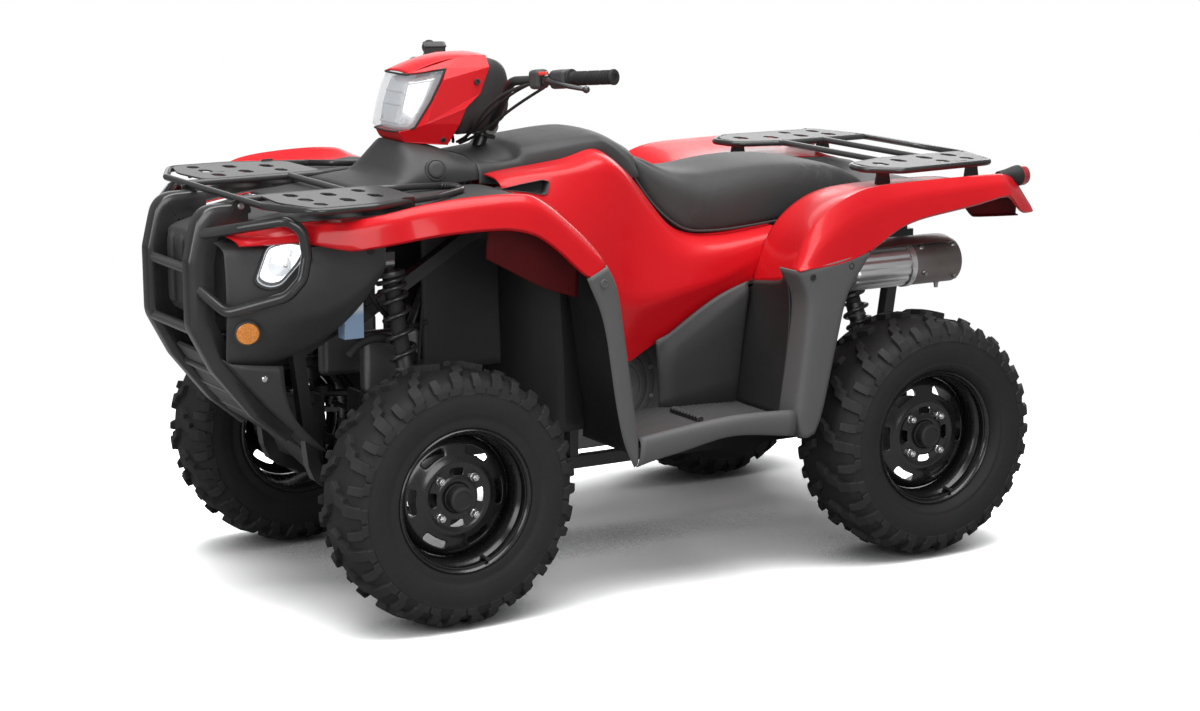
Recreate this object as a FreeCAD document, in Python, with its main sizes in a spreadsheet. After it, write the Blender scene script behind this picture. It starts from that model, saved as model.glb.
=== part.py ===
import FreeCAD, Part
import math
import os

# Quad bike, utility type, in millimetres.
# +X points forward, +Y to the rider's left, +Z up. The floor is z = 0, and the
# origin lies on it under the middle of the overall length.

os.makedirs("parts", exist_ok=True)
doc = FreeCAD.newDocument("QuadBike")
V = FreeCAD.Vector
Y_AXIS = V(0, 1, 0)
Z_AXIS = V(0, 0, 1)

# Driving dimensions

DRIVING = [
    ("wheelbase", 1295, "front axle to rear axle"),
    ("front_overhang", 497, "front axle to the bumper's face"),
    ("rear_overhang", 357, "rear axle to the rear fender's tips"),
    ("front_track", 892, "between the front tyres' middle planes"),
    ("rear_track", 966, "between the rear tyres' middle planes"),
    ("tyre_radius", 305, "to the tips of the lugs"),
    ("lug_height", 21, "tread lug above the carcass"),
    ("front_tyre_width", 198, "widest point of the front carcass"),
    ("rear_tyre_width", 238, "widest point of the rear carcass"),
    ("tyre_pitches", 17, "lug pairs round a tyre"),
    ("rim_radius", 168.5, "rim flange"),
    ("rim_seat_radius", 152, "bead seat of the rim"),
    ("rim_wall", 4, "sheet of the rim"),
    ("front_rim_width", 184, "over the front rim's flanges"),
    ("rear_rim_width", 188, "over the rear rim's flanges"),
    ("disc_recess", 47, "rim flange to the face of the wheel disc"),
    ("rim_slots", 6, "oval slots round the wheel disc"),
    ("hub_radius", 34, "hub behind the wheel disc"),
    ("cap_radius", 30, "cap in the middle of the wheel"),
    ("stub_radius", 15, "stub axle that turns in the knuckle"),
    ("running_gap", 0.3, "radial clearance at a bearing"),
    ("seat_gap", 0.3, "clearance between seated pieces"),
    ("kingpin_half_span", 390, "kingpin axis from the middle plane"),
    ("kingpin_radius", 8, "ball joint pin of the knuckle"),
    ("ball_joint_rise", 84, "ball joint above and below the axle"),
    ("knuckle_arm", 100, "kingpin to tie rod pin"),
    ("pitman_arm", 73, "steering column to tie rod pins"),
    ("panel_wall", 4, "moulded plastic panels"),
    ("handlebar_radius", 11, "handlebar tube"),
    ("handlebar_half_span", 465, "middle plane to the bar's end"),
    ("grip_radius", 17, "rubber grip"),
    ("grip_length", 128, "rubber grip"),
    ("stem_radius", 16, "steering column tube"),
    ("rack_tube_radius", 8, "cross tubes of the racks"),
    ("frame_tube", 30, "square tube of the frame"),
    ("rail_half_span", 130, "frame rails from the middle plane"),
    ("clearance", 236, "floor to the lowest frame part"),
    ("hitch_bore", 19.5, "bore of the towing plate"),
    ("hitch_plate", 10, "thickness of the towing plate"),
    ("muffler_radius", 58, "muffler barrel"),
    ("muffler_length", 330, "muffler barrel"),
    ("shock_radius", 36, "coil spring of a shock absorber"),
    ("seat_half_width", 150, "seat cushion"),
]

sheet = doc.addObject("Spreadsheet::Sheet", "Sizes")
for row, (alias, value, note) in enumerate(DRIVING, start=1):
    sheet.set("A" + str(row), str(value))
    sheet.setAlias("A" + str(row), alias)
    sheet.set("B" + str(row), note)
doc.recompute()


def size(alias):
    """Value of one driving dimension."""
    return float(sheet.get(alias))


WHEELBASE = size("wheelbase")
FRONT_AXLE_X = (WHEELBASE + size("rear_overhang") - size("front_overhang")) / 2
REAR_AXLE_X = FRONT_AXLE_X - WHEELBASE
AXLE_Z = size("tyre_radius")
FRONT_WHEEL_Y = size("front_track") / 2
REAR_WHEEL_Y = size("rear_track") / 2
KINGPIN_Y = size("kingpin_half_span")
WALL = size("panel_wall")
GAP = size("seat_gap")


def station(x):
    """Place along the vehicle. Outlines are drawn for axles at 577.5 and -717.5."""
    if x >= 577.5:
        return FRONT_AXLE_X + x - 577.5
    if x <= -717.5:
        return REAR_AXLE_X + x + 717.5
    return REAR_AXLE_X + (x + 717.5) * WHEELBASE / 1295


def level(z):
    """Height above the floor. Outlines are drawn for axles 305 above it."""
    return AXLE_Z + z - 305


def at(x, y, z):
    """Point of an outline in the document's frame."""
    return V(station(x), y, level(z))


pieces = []


def keep(label, shape):
    """Store a finished shape as a named sub-part."""
    feature = doc.addObject("Part::Feature", label)
    feature.Label = label
    feature.Shape = shape
    pieces.append(feature)
    return feature


def mirrored(shape):
    """The same shape on the right-hand side."""
    return shape.mirror(V(0, 0, 0), Y_AXIS)


def both(shape):
    """A shape with its mirror image, as solids that don't touch."""
    return Part.makeCompound(shape.Solids + mirrored(shape).Solids)


def face_of(points):
    """Flat face inside a closed polygon."""
    return Part.Face(Part.makePolygon(list(points) + [points[0]]))


def side_plate(outline, y0, y1):
    """Plate with an outline seen from the side, between two planes."""
    face = face_of([at(x, y0, z) for x, z in outline])
    return face.extrude(V(0, y1 - y0, 0))


def level_plate(outline, z0, z1):
    """Plate with an outline seen from above, between two heights."""
    face = face_of([at(x, y, z0) for x, y in outline])
    return face.extrude(V(0, 0, z1 - z0))


def box(x0, x1, y0, y1, z0, z1):
    """Block between drawn stations and heights."""
    return level_plate([(x0, y0), (x1, y0), (x1, y1), (x0, y1)], z0, z1)


def faceted(rings):
    """Solid through closed rings of points, with flat faces between them."""
    faces = [face_of(rings[0]), face_of(rings[-1])]
    for near, far in zip(rings, rings[1:]):
        count = len(near)
        for index in range(count):
            following = (index + 1) % count
            quad = [near[index], near[following], far[following], far[index]]
            if (quad[1] - quad[3]).Length < (quad[2] - quad[0]).Length:
                quad = quad[1:] + quad[:1]
            flat = abs((quad[1] - quad[0]).cross(quad[3] - quad[0]).dot(quad[2] - quad[0]))
            if flat < 1e-3:
                faces.append(face_of(quad))
            else:
                faces.append(face_of(quad[:3]))
                faces.append(face_of([quad[0], quad[2], quad[3]]))
    return closed(faces)


def closed(faces):
    """Solid bounded by faces that share their edges."""
    shell = Part.makeShell(faces)
    shell.sewShape()
    solid = Part.makeSolid(shell)
    if solid.Volume < 0:
        solid.reverse()
    return solid


def sides_for(radius):
    """Number of flats that keep a bar of this radius round enough."""
    return 6 if radius < 9 else 8 if radius < 32 else 12


def ring_round(centre, way, radius, sides):
    """Points of a regular polygon square to a direction."""
    helper = Z_AXIS if abs(way.z) < 0.9 * way.Length else V(1, 0, 0)
    first = way.cross(helper).normalize()
    second = way.cross(first).normalize()
    turn = 2 * math.pi / sides
    return [centre + first * (radius * math.cos(turn * (index + 0.5)))
            + second * (radius * math.sin(turn * (index + 0.5))) for index in range(sides)]


def rod(start, end, radius, sides=None):
    """Straight bar with flats in place of a round, between two points."""
    ring = ring_round(start, end - start, radius, sides or sides_for(radius))
    return face_of(ring).extrude(end - start)


def bore(start, end, radius, sides=None):
    """Cutter whose flats touch a round hole of this radius from outside."""
    sides = sides or sides_for(radius)
    return rod(start, end, radius / math.cos(math.pi / sides), sides)


def rounded(points, bend):
    """Path whose corners are replaced by short chords of an arc."""
    path = [points[0]]
    for before, corner, after in zip(points, points[1:], points[2:]):
        into = (before - corner).normalize()
        out = (after - corner).normalize()
        half = into.getAngle(out) / 2
        centre = corner + (into + out).normalize() * (bend / math.sin(half))
        first = corner + into * (bend / math.tan(half))
        second = corner + out * (bend / math.tan(half))
        sweep = math.pi - 2 * half
        if sweep < math.radians(28):
            path.append(corner)
            continue
        count = math.ceil(sweep / math.radians(46))
        arm = first - centre
        across = arm.cross(second - centre).cross(arm).normalize() * bend
        for index in range(count + 1):
            angle = sweep * index / count
            path.append(centre + arm * math.cos(angle) + across * math.sin(angle))
    return path + [points[-1]]


def swept(ring, path):
    """Solid of a flat ring of points carried along a path with mitred corners."""
    rings = [ring]
    for index in range(1, len(path)):
        way = (path[index] - path[index - 1]).normalize()
        normal = way
        if index < len(path) - 1:
            normal = way + (path[index + 1] - path[index]).normalize()
        ring = [p + way * ((path[index] - p).dot(normal) / way.dot(normal)) for p in ring]
        rings.append(ring)
    return faceted(rings)


def tube(points, radius, bend=40, sides=None):
    """Bar with flats in place of a round, along a bent path."""
    path = rounded(points, bend)
    ring = ring_round(path[0], path[1] - path[0], radius, sides or sides_for(radius))
    return swept(ring, path)


def beam(points, width, depth, bend=40):
    """Bar of rectangular section along a path in an upright plane along X."""
    path = rounded(points, bend)
    way = (path[1] - path[0]).normalize()
    across = Y_AXIS * (width / 2)
    up = Y_AXIS.cross(way) * (depth / 2)
    start = path[0]
    return swept([start + across + up, start - across + up,
                  start - across - up, start + across - up], path)


def inset(outline, wall, closed):
    """Outline moved to its left by one wall, corners mitred."""
    count = len(outline)
    moved = []
    for index in range(count):
        here = outline[index]
        before = outline[index - 1] if index or closed else None
        after = outline[(index + 1) % count] if index < count - 1 or closed else None
        normals = []
        for first, second in ((before, here), (here, after)):
            if first is None or second is None:
                continue
            du, dv = second[0] - first[0], second[1] - first[1]
            reach = math.hypot(du, dv)
            normals.append((-dv / reach, du / reach))
        nu = sum(n[0] for n in normals) / len(normals)
        nv = sum(n[1] for n in normals) / len(normals)
        scale = wall / (nu * nu + nv * nv)
        moved.append((here[0] + nu * scale, here[1] + nv * scale))
    return moved


def walled(outline, wall=None):
    """Closed section of a sheet whose outer face follows an open outline."""
    inner = inset(outline, WALL if wall is None else wall, False)
    return list(outline) + inner[::-1]


def flat_ring(profile, sectors):
    """Solid of flat sectors round the Y axis, from a closed (y, radius) outline."""
    faces = []
    turn = 2 * math.pi / sectors
    for index in range(sectors):
        sides = ((math.sin(turn * index), math.cos(turn * index)),
                 (math.sin(turn * (index + 1)), math.cos(turn * (index + 1))))
        for (y0, r0), (y1, r1) in zip(profile, profile[1:] + profile[:1]):
            corners = [V(r0 * sides[0][0], y0, r0 * sides[0][1]),
                       V(r1 * sides[0][0], y1, r1 * sides[0][1])]
            if r1 > 0:
                corners.append(V(r1 * sides[1][0], y1, r1 * sides[1][1]))
            if r0 > 0:
                corners.append(V(r0 * sides[1][0], y0, r0 * sides[1][1]))
            if len(corners) > 2:
                faces.append(face_of(corners))
    return closed(faces)


def depth_at(sections, row, column):
    """How much deeper a sheet is, seen across, where its face slopes along X."""
    before, after = sections[max(row - 1, 0)], sections[min(row + 1, len(sections) - 1)]
    outline = sections[row][1]
    near, far = outline[max(column - 1, 0)], outline[min(column + 1, len(outline) - 1)]
    along = V(after[0] - before[0], after[1][column][0] - before[1][column][0],
              after[1][column][1] - before[1][column][1])
    normal = along.cross(V(0, far[0] - near[0], far[1] - near[1])).normalize()
    return min(1 / math.hypot(normal.y, normal.z), 2)


def panel(sections, wall):
    """Sheet through cross outlines (x, [(y, z), ...]) of its outer face."""
    rings = []
    for row, (x, outline) in enumerate(sections):
        inner = [(y + (v - y) * depth_at(sections, row, column),
                  z + (w - z) * depth_at(sections, row, column))
                 for column, ((y, z), (v, w)) in enumerate(zip(outline,
                                                               inset(outline, wall, False)))]
        rings.append([at(x, y, z) for y, z in list(outline) + inner[::-1]])
    return faceted(rings)


def hull(sections):
    """Solid through half outlines (x, [(y, z), ...]), top to bottom, mirrored."""
    rings = []
    for x, half in sections:
        ring = list(half) + [(-y, z) for y, z in half[::-1] if y > 0]
        rings.append([at(x, y, z) for y, z in ring])
    return faceted(rings)


# Wheels, drawn round the origin with the outside of the vehicle at +Y

PITCHES = int(size("tyre_pitches"))
RIM_SECTORS = 12
FLANGE = size("rim_wall")
SEAT_R = size("rim_seat_radius")
RIM_R = size("rim_radius")
LUG_TIP = size("tyre_radius")
TREAD_R = LUG_TIP - size("lug_height")
BEAD_R = (SEAT_R + GAP) / math.cos(math.pi / PITCHES)
SECTOR_START = -4.2


def tyre_lug(half_width, side, turn):
    """Lug that runs from the middle of the tread round one shoulder."""
    rows = [(0.05 * half_width, LUG_TIP, TREAD_R - 16, 0, 3.3),
            (0.98 * half_width, TREAD_R - 20, TREAD_R - 66, 8.5, 2.9)]
    rings = []
    for y, top, base, sweep, half_angle in rows:
        ring = []
        for radius, share in ((base, -1.15), (top, -0.85), (top, 0.85), (base, 1.15)):
            angle = math.radians(turn + sweep + share * half_angle)
            ring.append(V(radius * math.sin(angle), side * y, radius * math.cos(angle)))
        rings.append(ring)
    return faceted(rings)


def carcass(flank):
    """Ring of flats through a half outline, one flat under each lug of a side."""
    rings = []
    for side, ahead in ((1, 0), (-1, 0.5)):
        for y, radius in flank[::side]:
            ring = []
            for index in range(PITCHES):
                angle = math.radians(SECTOR_START + 360 / PITCHES * (index + ahead))
                ring.append(V(radius * math.sin(angle), side * y, radius * math.cos(angle)))
            rings.append((ahead, ring))
    faces = []
    for (ahead, near), (behind, far) in zip(rings, rings[1:] + rings[:1]):
        for index in range(PITCHES):
            later = (index + 1) % PITCHES
            if ahead == behind:
                faces.append(face_of([near[index], near[later], far[later], far[index]]))
            elif ahead < behind:
                faces.append(face_of([near[index], near[later], far[index]]))
                faces.append(face_of([near[later], far[later], far[index]]))
            else:
                faces.append(face_of([near[index], near[later], far[later]]))
                faces.append(face_of([near[index], far[later], far[index]]))
    return closed(faces)


def tyre(width, rim_width):
    """Carcass with bead, side walls and staggered lugs."""
    half = width / 2
    bead = rim_width / 2 - FLANGE - GAP
    body = carcass([(bead, BEAD_R), (bead, RIM_R + 5), (half, RIM_R + 40),
                    (half * 0.66, TREAD_R - 6)])
    pitch = 360 / PITCHES
    lugs = []
    for index in range(PITCHES):
        lugs.append(tyre_lug(half, 1, pitch * index))
        lugs.append(tyre_lug(half, -1, pitch * (index + 0.5)))
    return body.fuse(lugs)


def rim(rim_width):
    """Steel rim with its slotted disc, hub, cap and stub axle."""
    edge = rim_width / 2
    inner = SEAT_R - FLANGE
    barrel = flat_ring([(edge, RIM_R), (edge - FLANGE, RIM_R), (edge - FLANGE, SEAT_R),
                        (FLANGE - edge, SEAT_R), (FLANGE - edge, RIM_R), (-edge, RIM_R),
                        (-edge, inner), (edge, inner)], RIM_SECTORS)
    face = edge - size("disc_recess")
    rim_disc = rod(V(0, face - FLANGE, 0), V(0, face, 0), inner + 1, RIM_SECTORS)
    rim_disc = rim_disc.rotate(V(0, 0, 0), Y_AXIS, 180 / RIM_SECTORS)
    slot = face_of([V(x, face - 2 * FLANGE, z) for x, z in
                    ((-28, 103), (-35, 122), (35, 122), (28, 103))])
    slot = slot.extrude(V(0, 4 * FLANGE, 0))
    window = face_of([V(x, face - 2 * FLANGE, z) for x, z in
                      ((-14, 50), (-19, 70), (19, 70), (14, 50))])
    window = window.extrude(V(0, 4 * FLANGE, 0))
    cuts = []
    count = int(size("rim_slots"))
    for index in range(count):
        cuts.append(slot.copy().rotate(V(0, 0, 0), Y_AXIS, 360 / count * index))
    for index in range(4):
        cuts.append(window.copy().rotate(V(0, 0, 0), Y_AXIS, 90 * index))
    rim_disc = rim_disc.cut(cuts)
    hub_radius, cap_radius = size("hub_radius"), size("cap_radius")
    stub_radius = size("stub_radius")
    hub = flat_ring([(-6, 0), (-6, hub_radius), (face + 10, hub_radius),
                     (face + 10, cap_radius), (face + 32, cap_radius - 3),
                     (face + 32, 0)], 8)
    stub = Part.makeCylinder(stub_radius, 46, V(0, -48, 0), Y_AXIS)
    return barrel.fuse([rim_disc, hub, stub])


WHEELS = [("front_left", FRONT_AXLE_X, FRONT_WHEEL_Y, "front"),
          ("front_right", FRONT_AXLE_X, -FRONT_WHEEL_Y, "front"),
          ("rear_left", REAR_AXLE_X, REAR_WHEEL_Y, "rear"),
          ("rear_right", REAR_AXLE_X, -REAR_WHEEL_Y, "rear")]
TYRES = {}
RIMS = {}
for axle in ("front", "rear"):
    TYRES[axle] = tyre(size(axle + "_tyre_width"), size(axle + "_rim_width"))
    RIMS[axle] = rim(size(axle + "_rim_width"))
for place, wheel_x, wheel_y, axle in WHEELS:
    for name, shape in (("tyre_", TYRES[axle]), ("rim_", RIMS[axle])):
        wheel = keep(name + place, shape if wheel_y > 0 else mirrored(shape))
        wheel.Placement = FreeCAD.Placement(V(wheel_x, wheel_y, AXLE_Z), FreeCAD.Rotation())


# Knuckles, suspension and final drive

HOUSING_R = 48
HOUSING_DEPTH = 30
HOUSING_INNER = -44
RISE = size("ball_joint_rise")
PIN_R = size("kingpin_radius")
PIN_SIDES = 8
RUN = size("running_gap")
STUB_BORE = size("stub_radius") + RUN
TIE_PIN_X = FRONT_AXLE_X - size("knuckle_arm")
TIE_PIN_Z = AXLE_Z + 50
TIE_PIN_R = 6
PIVOT_Y = 172
BUSH_HALF = 30
REAR_PIVOT_Y = REAR_WHEEL_Y - FRONT_WHEEL_Y + KINGPIN_Y


def knuckle(axle_x, wheel_y, pivot_y):
    """Housing round the stub axle, with an upright to each ball joint."""
    inner = wheel_y + HOUSING_INNER
    centre = V(axle_x, inner, AXLE_Z)
    body = rod(centre, centre + Y_AXIS * HOUSING_DEPTH, HOUSING_R, 8)
    parts = []
    for sign in (1, -1):
        low, high = sorted((AXLE_Z + sign * 38, AXLE_Z + sign * (RISE - 18)))
        parts.append(Part.makeBox(28, inner + 20 - pivot_y + 14, high - low,
                                  V(axle_x - 14, pivot_y - 14, low)))
        foot = V(axle_x, pivot_y, AXLE_Z + sign * (RISE - 24))
        parts.append(rod(foot, foot + Z_AXIS * (34 * sign), PIN_R, PIN_SIDES))
    body = body.fuse(parts)
    return body.cut(bore(centre - Y_AXIS * 20, centre + Y_AXIS * 180, STUB_BORE))


def front_knuckle():
    """Knuckle with the steering arm and its tie rod pin."""
    body = knuckle(FRONT_AXLE_X, FRONT_WHEEL_Y, KINGPIN_Y)
    inner = FRONT_WHEEL_Y + HOUSING_INNER
    floor = TIE_PIN_Z - 26
    arm = face_of([V(FRONT_AXLE_X - 30, inner + 20, floor),
                   V(FRONT_AXLE_X - 30, inner + 2, floor),
                   V(TIE_PIN_X - 13, KINGPIN_Y - 13, floor),
                   V(TIE_PIN_X - 13, KINGPIN_Y + 13, floor)])
    arm = arm.extrude(V(0, 0, 12))
    tie_foot = V(TIE_PIN_X, KINGPIN_Y, floor + 6)
    king_foot = V(FRONT_AXLE_X, KINGPIN_Y, AXLE_Z + RISE - 24)
    return body.fuse([arm, Part.makeCylinder(TIE_PIN_R, 34, tie_foot, Z_AXIS),
                      Part.makeCylinder(PIN_R, 36, king_foot, Z_AXIS)])


def wishbone(eye, pivots, seat_y=None, seat_top=None):
    """Two tubes from the frame pivots to the eye round a ball joint pin."""
    rise = Z_AXIS * 9
    ring = rod(eye - rise, eye + rise, 17, PIN_SIDES)
    parts = []
    for pivot in pivots:
        parts.append(rod(pivot, eye, 9, 6))
        parts.append(rod(pivot - V(BUSH_HALF, 0, 0), pivot + V(BUSH_HALF, 0, 0), 16, 6))
    if seat_y:
        share = (eye.y - seat_y) / (eye.y - pivots[0].y)
        low = eye.z + (pivots[0].z - eye.z) * share
        reach = abs(pivots[0].x - eye.x) * share + 6
        parts.append(Part.makeBox(2 * reach, 24, seat_top - low,
                                  V(eye.x - reach, seat_y - 12, low)))
    arm = ring.fuse(parts)
    return arm.cut(bore(eye - Z_AXIS * 30, eye + Z_AXIS * 30, PIN_R + RUN, PIN_SIDES))


UPPER_PIVOT_Z = AXLE_Z + 115
LOWER_PIVOT_Z = AXLE_Z - 43
FRONT_BASE = 84
REAR_BASE = 76
SHOCK_SEAT_Z = AXLE_Z + 119


def arms(axle_x, pivot_y, half_base, seat_y):
    """Upper and lower wishbone of the left wheel."""
    found = []
    for sign, height in ((1, UPPER_PIVOT_Z), (-1, LOWER_PIVOT_Z)):
        eye = V(axle_x, pivot_y, AXLE_Z + sign * (RISE - 3))
        pivots = [V(axle_x + half_base, PIVOT_Y, height), V(axle_x - half_base, PIVOT_Y, height)]
        seat = (seat_y, SHOCK_SEAT_Z) if sign > 0 else (None, None)
        found.append(wishbone(eye, pivots, *seat))
    return Part.makeCompound(found)


FRONT_SHOCK_FOOT = V(FRONT_AXLE_X, 286, SHOCK_SEAT_Z + 1.8)
REAR_SHOCK_FOOT = V(REAR_AXLE_X, 300, SHOCK_SEAT_Z + 3.4)
FRONT_SHOCK_TOP = at(620, 238, 821.8)
REAR_SHOCK_TOP = at(-690, 186, 748.6)

keep("knuckle_left", front_knuckle())
keep("knuckle_right", mirrored(front_knuckle()))
keep("rear_knuckles", both(knuckle(REAR_AXLE_X, REAR_WHEEL_Y, REAR_PIVOT_Y)))
keep("front_arms", both(arms(FRONT_AXLE_X, KINGPIN_Y, FRONT_BASE, FRONT_SHOCK_FOOT.y)))
keep("rear_arms", both(arms(REAR_AXLE_X, REAR_PIVOT_Y, REAR_BASE, REAR_SHOCK_FOOT.y)))


def half_shaft(axle_x, start, end):
    """Drive shaft with a bellows at each joint, from the drive to the knuckle."""
    outline = [(start, 0), (start, 32), (start + 22, 32), (start + 62, 14),
               (end - 62, 14), (end - 22, 34), (end, 32), (end, 0)]
    return flat_ring(outline, 8).translate(V(axle_x, 0, AXLE_Z))


FRONT_DRIVE_Y = 78
REAR_DRIVE_Y = 92
front_shaft = half_shaft(FRONT_AXLE_X, FRONT_DRIVE_Y + GAP, KINGPIN_Y - 20)
rear_shaft = half_shaft(REAR_AXLE_X, REAR_DRIVE_Y + GAP, REAR_PIVOT_Y - 20)
keep("half_shafts", Part.makeCompound([front_shaft, mirrored(front_shaft),
                                       rear_shaft, mirrored(rear_shaft)]))

RAIL_Y = size("rail_half_span")
TUBE = size("frame_tube")
RAIL_Z = size("clearance") + TUBE / 2 + 305 - AXLE_Z
RAIL_TOP = level(RAIL_Z) + TUBE / 2
CROSS = TUBE - 4
ENGINE_FRONT = station(262)
ENGINE_BACK = station(-345)


def final_drive(axle_x, radius, reach, engine_end, foot_x):
    """Gear case on one axle, its propeller shaft and its foot on a cross member."""
    case = flat_ring([(-reach, 0), (-reach, 38), (-36, radius), (36, radius), (reach, 38),
                      (reach, 0)], 8)
    case = case.translate(V(axle_x, 0, AXLE_Z))
    way = 1 if engine_end > axle_x else -1
    snout = rod(V(axle_x, 0, AXLE_Z), V(axle_x + way * (radius + 42), 0, AXLE_Z), 26)
    shaft = rod(V(axle_x, 0, AXLE_Z), V(engine_end - way * GAP, 0, AXLE_Z), 13)
    low = RAIL_TOP - 2 + GAP
    start, end = sorted((axle_x, foot_x))
    foot = Part.makeBox(end - start, 40, 26, V(start, -20, low))
    return case.fuse([snout, shaft, foot])


keep("final_drives", Part.makeCompound([
    final_drive(FRONT_AXLE_X, 58, FRONT_DRIVE_Y, ENGINE_FRONT, station(650)),
    final_drive(REAR_AXLE_X, 62, REAR_DRIVE_Y, ENGINE_BACK, station(-850))]))


def shock(top, bottom):
    """Shock absorber: eyes, damper and the sleeve of its coil spring."""
    way = bottom - top
    span = way.Length
    coil = size("shock_radius")
    outline = [(0, 0), (0, 12), (24, 12), (34, coil), (span - 92, coil), (span - 84, 22),
               (span - 24, 22), (span, 9), (span, 0)]
    unit = flat_ring(outline, 8)
    unit.Placement = FreeCAD.Placement(top, FreeCAD.Rotation(Y_AXIS, way))
    return unit


front_shock = shock(FRONT_SHOCK_TOP, FRONT_SHOCK_FOOT)
rear_shock = shock(REAR_SHOCK_TOP, REAR_SHOCK_FOOT)
keep("shocks", Part.makeCompound([front_shock, mirrored(front_shock),
                                  rear_shock, mirrored(rear_shock)]))

# Steering column, drawn along its leaning axis

COLUMN_TOP = at(234, 0, 1083)
COLUMN_FOOT = at(539, 0, 385)
COLUMN_WAY = (COLUMN_TOP - COLUMN_FOOT).normalize()
BACK_WAY = COLUMN_WAY.cross(Y_AXIS)
if BACK_WAY.x > 0:
    BACK_WAY = BACK_WAY * -1
PITMAN = size("pitman_arm")
PITMAN_HALF = 24
STEM_R = size("stem_radius")


def column_plate(outline, low, high):
    """Plate square to the column, from outlines (back, left), between two heights."""
    face = face_of([COLUMN_FOOT + BACK_WAY * back + Y_AXIS * left + COLUMN_WAY * low
                    for back, left in outline])
    return face.extrude(COLUMN_WAY * (high - low))


def steering_stem():
    """Column with the pitman plate below and the bar's saddle above."""
    column = Part.makeCylinder(STEM_R, (COLUMN_TOP - COLUMN_FOOT).Length - 14, COLUMN_FOOT,
                               COLUMN_WAY)
    plate = column_plate([(-18, -18), (-18, 18), (PITMAN + 10, 34), (PITMAN + 10, -34)], 0, 9)
    top = (COLUMN_TOP - COLUMN_FOOT).Length
    saddle = column_plate([(-96, -30), (-96, 30), (-22, 46), (12, 46), (12, -46), (-22, -46)],
                          top - 24, top - 14)
    post = box(312, 324, -26, 26, 1100, 1264)
    return column.fuse([plate, saddle, post])


keep("steering_stem", steering_stem())

BAR_PATH = [at(246, 0, 1090), at(246, 62, 1090), at(262, 190, 1212)]
BAR_TIP = at(146, size("handlebar_half_span"), 1238)
BAR_R = size("handlebar_radius")


def handlebar():
    """Bar swept from grip to grip, with its two clamp blocks."""
    half = BAR_PATH[1:] + [BAR_TIP]
    path = [V(p.x, -p.y, p.z) for p in half[::-1]] + half
    bar = tube(path, BAR_R, 40)
    clamps = []
    for side in (1, -1):
        block = face_of([BAR_PATH[0] + V(0, side * 44, 0) + BACK_WAY * along + COLUMN_WAY * up
                         for along, up in ((-18, -15.3), (-18, 18), (18, 18), (18, -15.3))])
        clamps.append(block.extrude(Y_AXIS * (22 * -side)))
    return bar.fuse(clamps)


keep("handlebar", handlebar())
BAR_WAY = (BAR_TIP - BAR_PATH[2]).normalize()
BAR_FORWARD = BAR_WAY.cross(Z_AXIS)
GRIP_END = BAR_TIP + BAR_WAY * 6
GRIP_START = GRIP_END - BAR_WAY * size("grip_length")


def grip():
    """Rubber grip with a flange at its inner end."""
    body = rod(GRIP_START, GRIP_END, size("grip_radius"))
    body = body.fuse(rod(GRIP_START, GRIP_START + BAR_WAY * 6, 23, 10))
    return body.cut(bore(GRIP_START - BAR_WAY, BAR_TIP + BAR_WAY * GAP, BAR_R + GAP))


keep("grips", both(grip()))


def controls():
    """Switch boxes, brake reservoir and the two levers."""
    width = 52
    near = GRIP_START - BAR_WAY * (GAP + width)
    left = rod(near, near + BAR_WAY * width, 26, 10)
    pivot = near + BAR_WAY * 20 + BAR_FORWARD * 20
    lever = tube([pivot, pivot + BAR_FORWARD * 38 - Z_AXIS * 4,
                  pivot + BAR_FORWARD * 42 + BAR_WAY * 150 - Z_AXIS * 20], 5, 14, 6)
    corner = near + BAR_WAY * 4 + BAR_FORWARD * 26 + Z_AXIS * 4
    tank = face_of([corner, corner - BAR_FORWARD * 46,
                    corner - BAR_FORWARD * 46 + BAR_WAY * 44,
                    corner + BAR_WAY * 44]).extrude(V(0, 0, 36))
    room = bore(near - BAR_WAY * 30, near + BAR_WAY * (width + 30), BAR_R + GAP)
    left = left.fuse(lever)
    return Part.makeCompound([left.cut(room), mirrored(left.fuse(tank).cut(room))])


keep("handlebar_controls", controls())


def tie_rod():
    """Rod from the steering arm's pin to the stud under the pitman plate."""
    outer = V(TIE_PIN_X, KINGPIN_Y, TIE_PIN_Z)
    stud = COLUMN_FOOT + BACK_WAY * PITMAN + Y_AXIS * PITMAN_HALF - COLUMN_WAY * RUN * 2
    inner = stud - COLUMN_WAY * 13
    body = rod(outer, inner, 7, 6)
    ends = [rod(outer - Z_AXIS * 7, outer + Z_AXIS * 7, 12),
            rod(inner - COLUMN_WAY * 6, inner + COLUMN_WAY * 6, 12), rod(inner, stud, TIE_PIN_R)]
    return body.fuse(ends).cut(bore(outer - Z_AXIS * 30, outer + Z_AXIS * 30, TIE_PIN_R + RUN))


keep("tie_rod_left", tie_rod())
keep("tie_rod_right", mirrored(tie_rod()))

# Frame, engine and what is bolted to them


def upright(x, width, y0, y1, z0, z1):
    """Post or shelf of the frame on the left, from its middle station."""
    return box(x - width / 2, x + width / 2, y0, y1, z0, z1)


def pivot_brackets(axle_x, half_base):
    """Upright plates that hold both ends of the wishbone bushes on the left."""
    plates = []
    wide = 8
    for pivot_x in (axle_x + half_base, axle_x - half_base):
        for end in (1, -1):
            face = pivot_x + end * (BUSH_HALF + GAP)
            plates.append(Part.makeBox(wide, PIVOT_Y + 12 - RAIL_Y + 10,
                                       UPPER_PIVOT_Z - LOWER_PIVOT_Z + 28,
                                       V(min(face, face + end * wide), RAIL_Y - 10,
                                         LOWER_PIVOT_Z - 13)))
    return plates


SEAT_BASE_FRONT = 800
SEAT_BASE_BACK = 816
TANK_BASE = 950
DECK_BASE = 853


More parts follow.
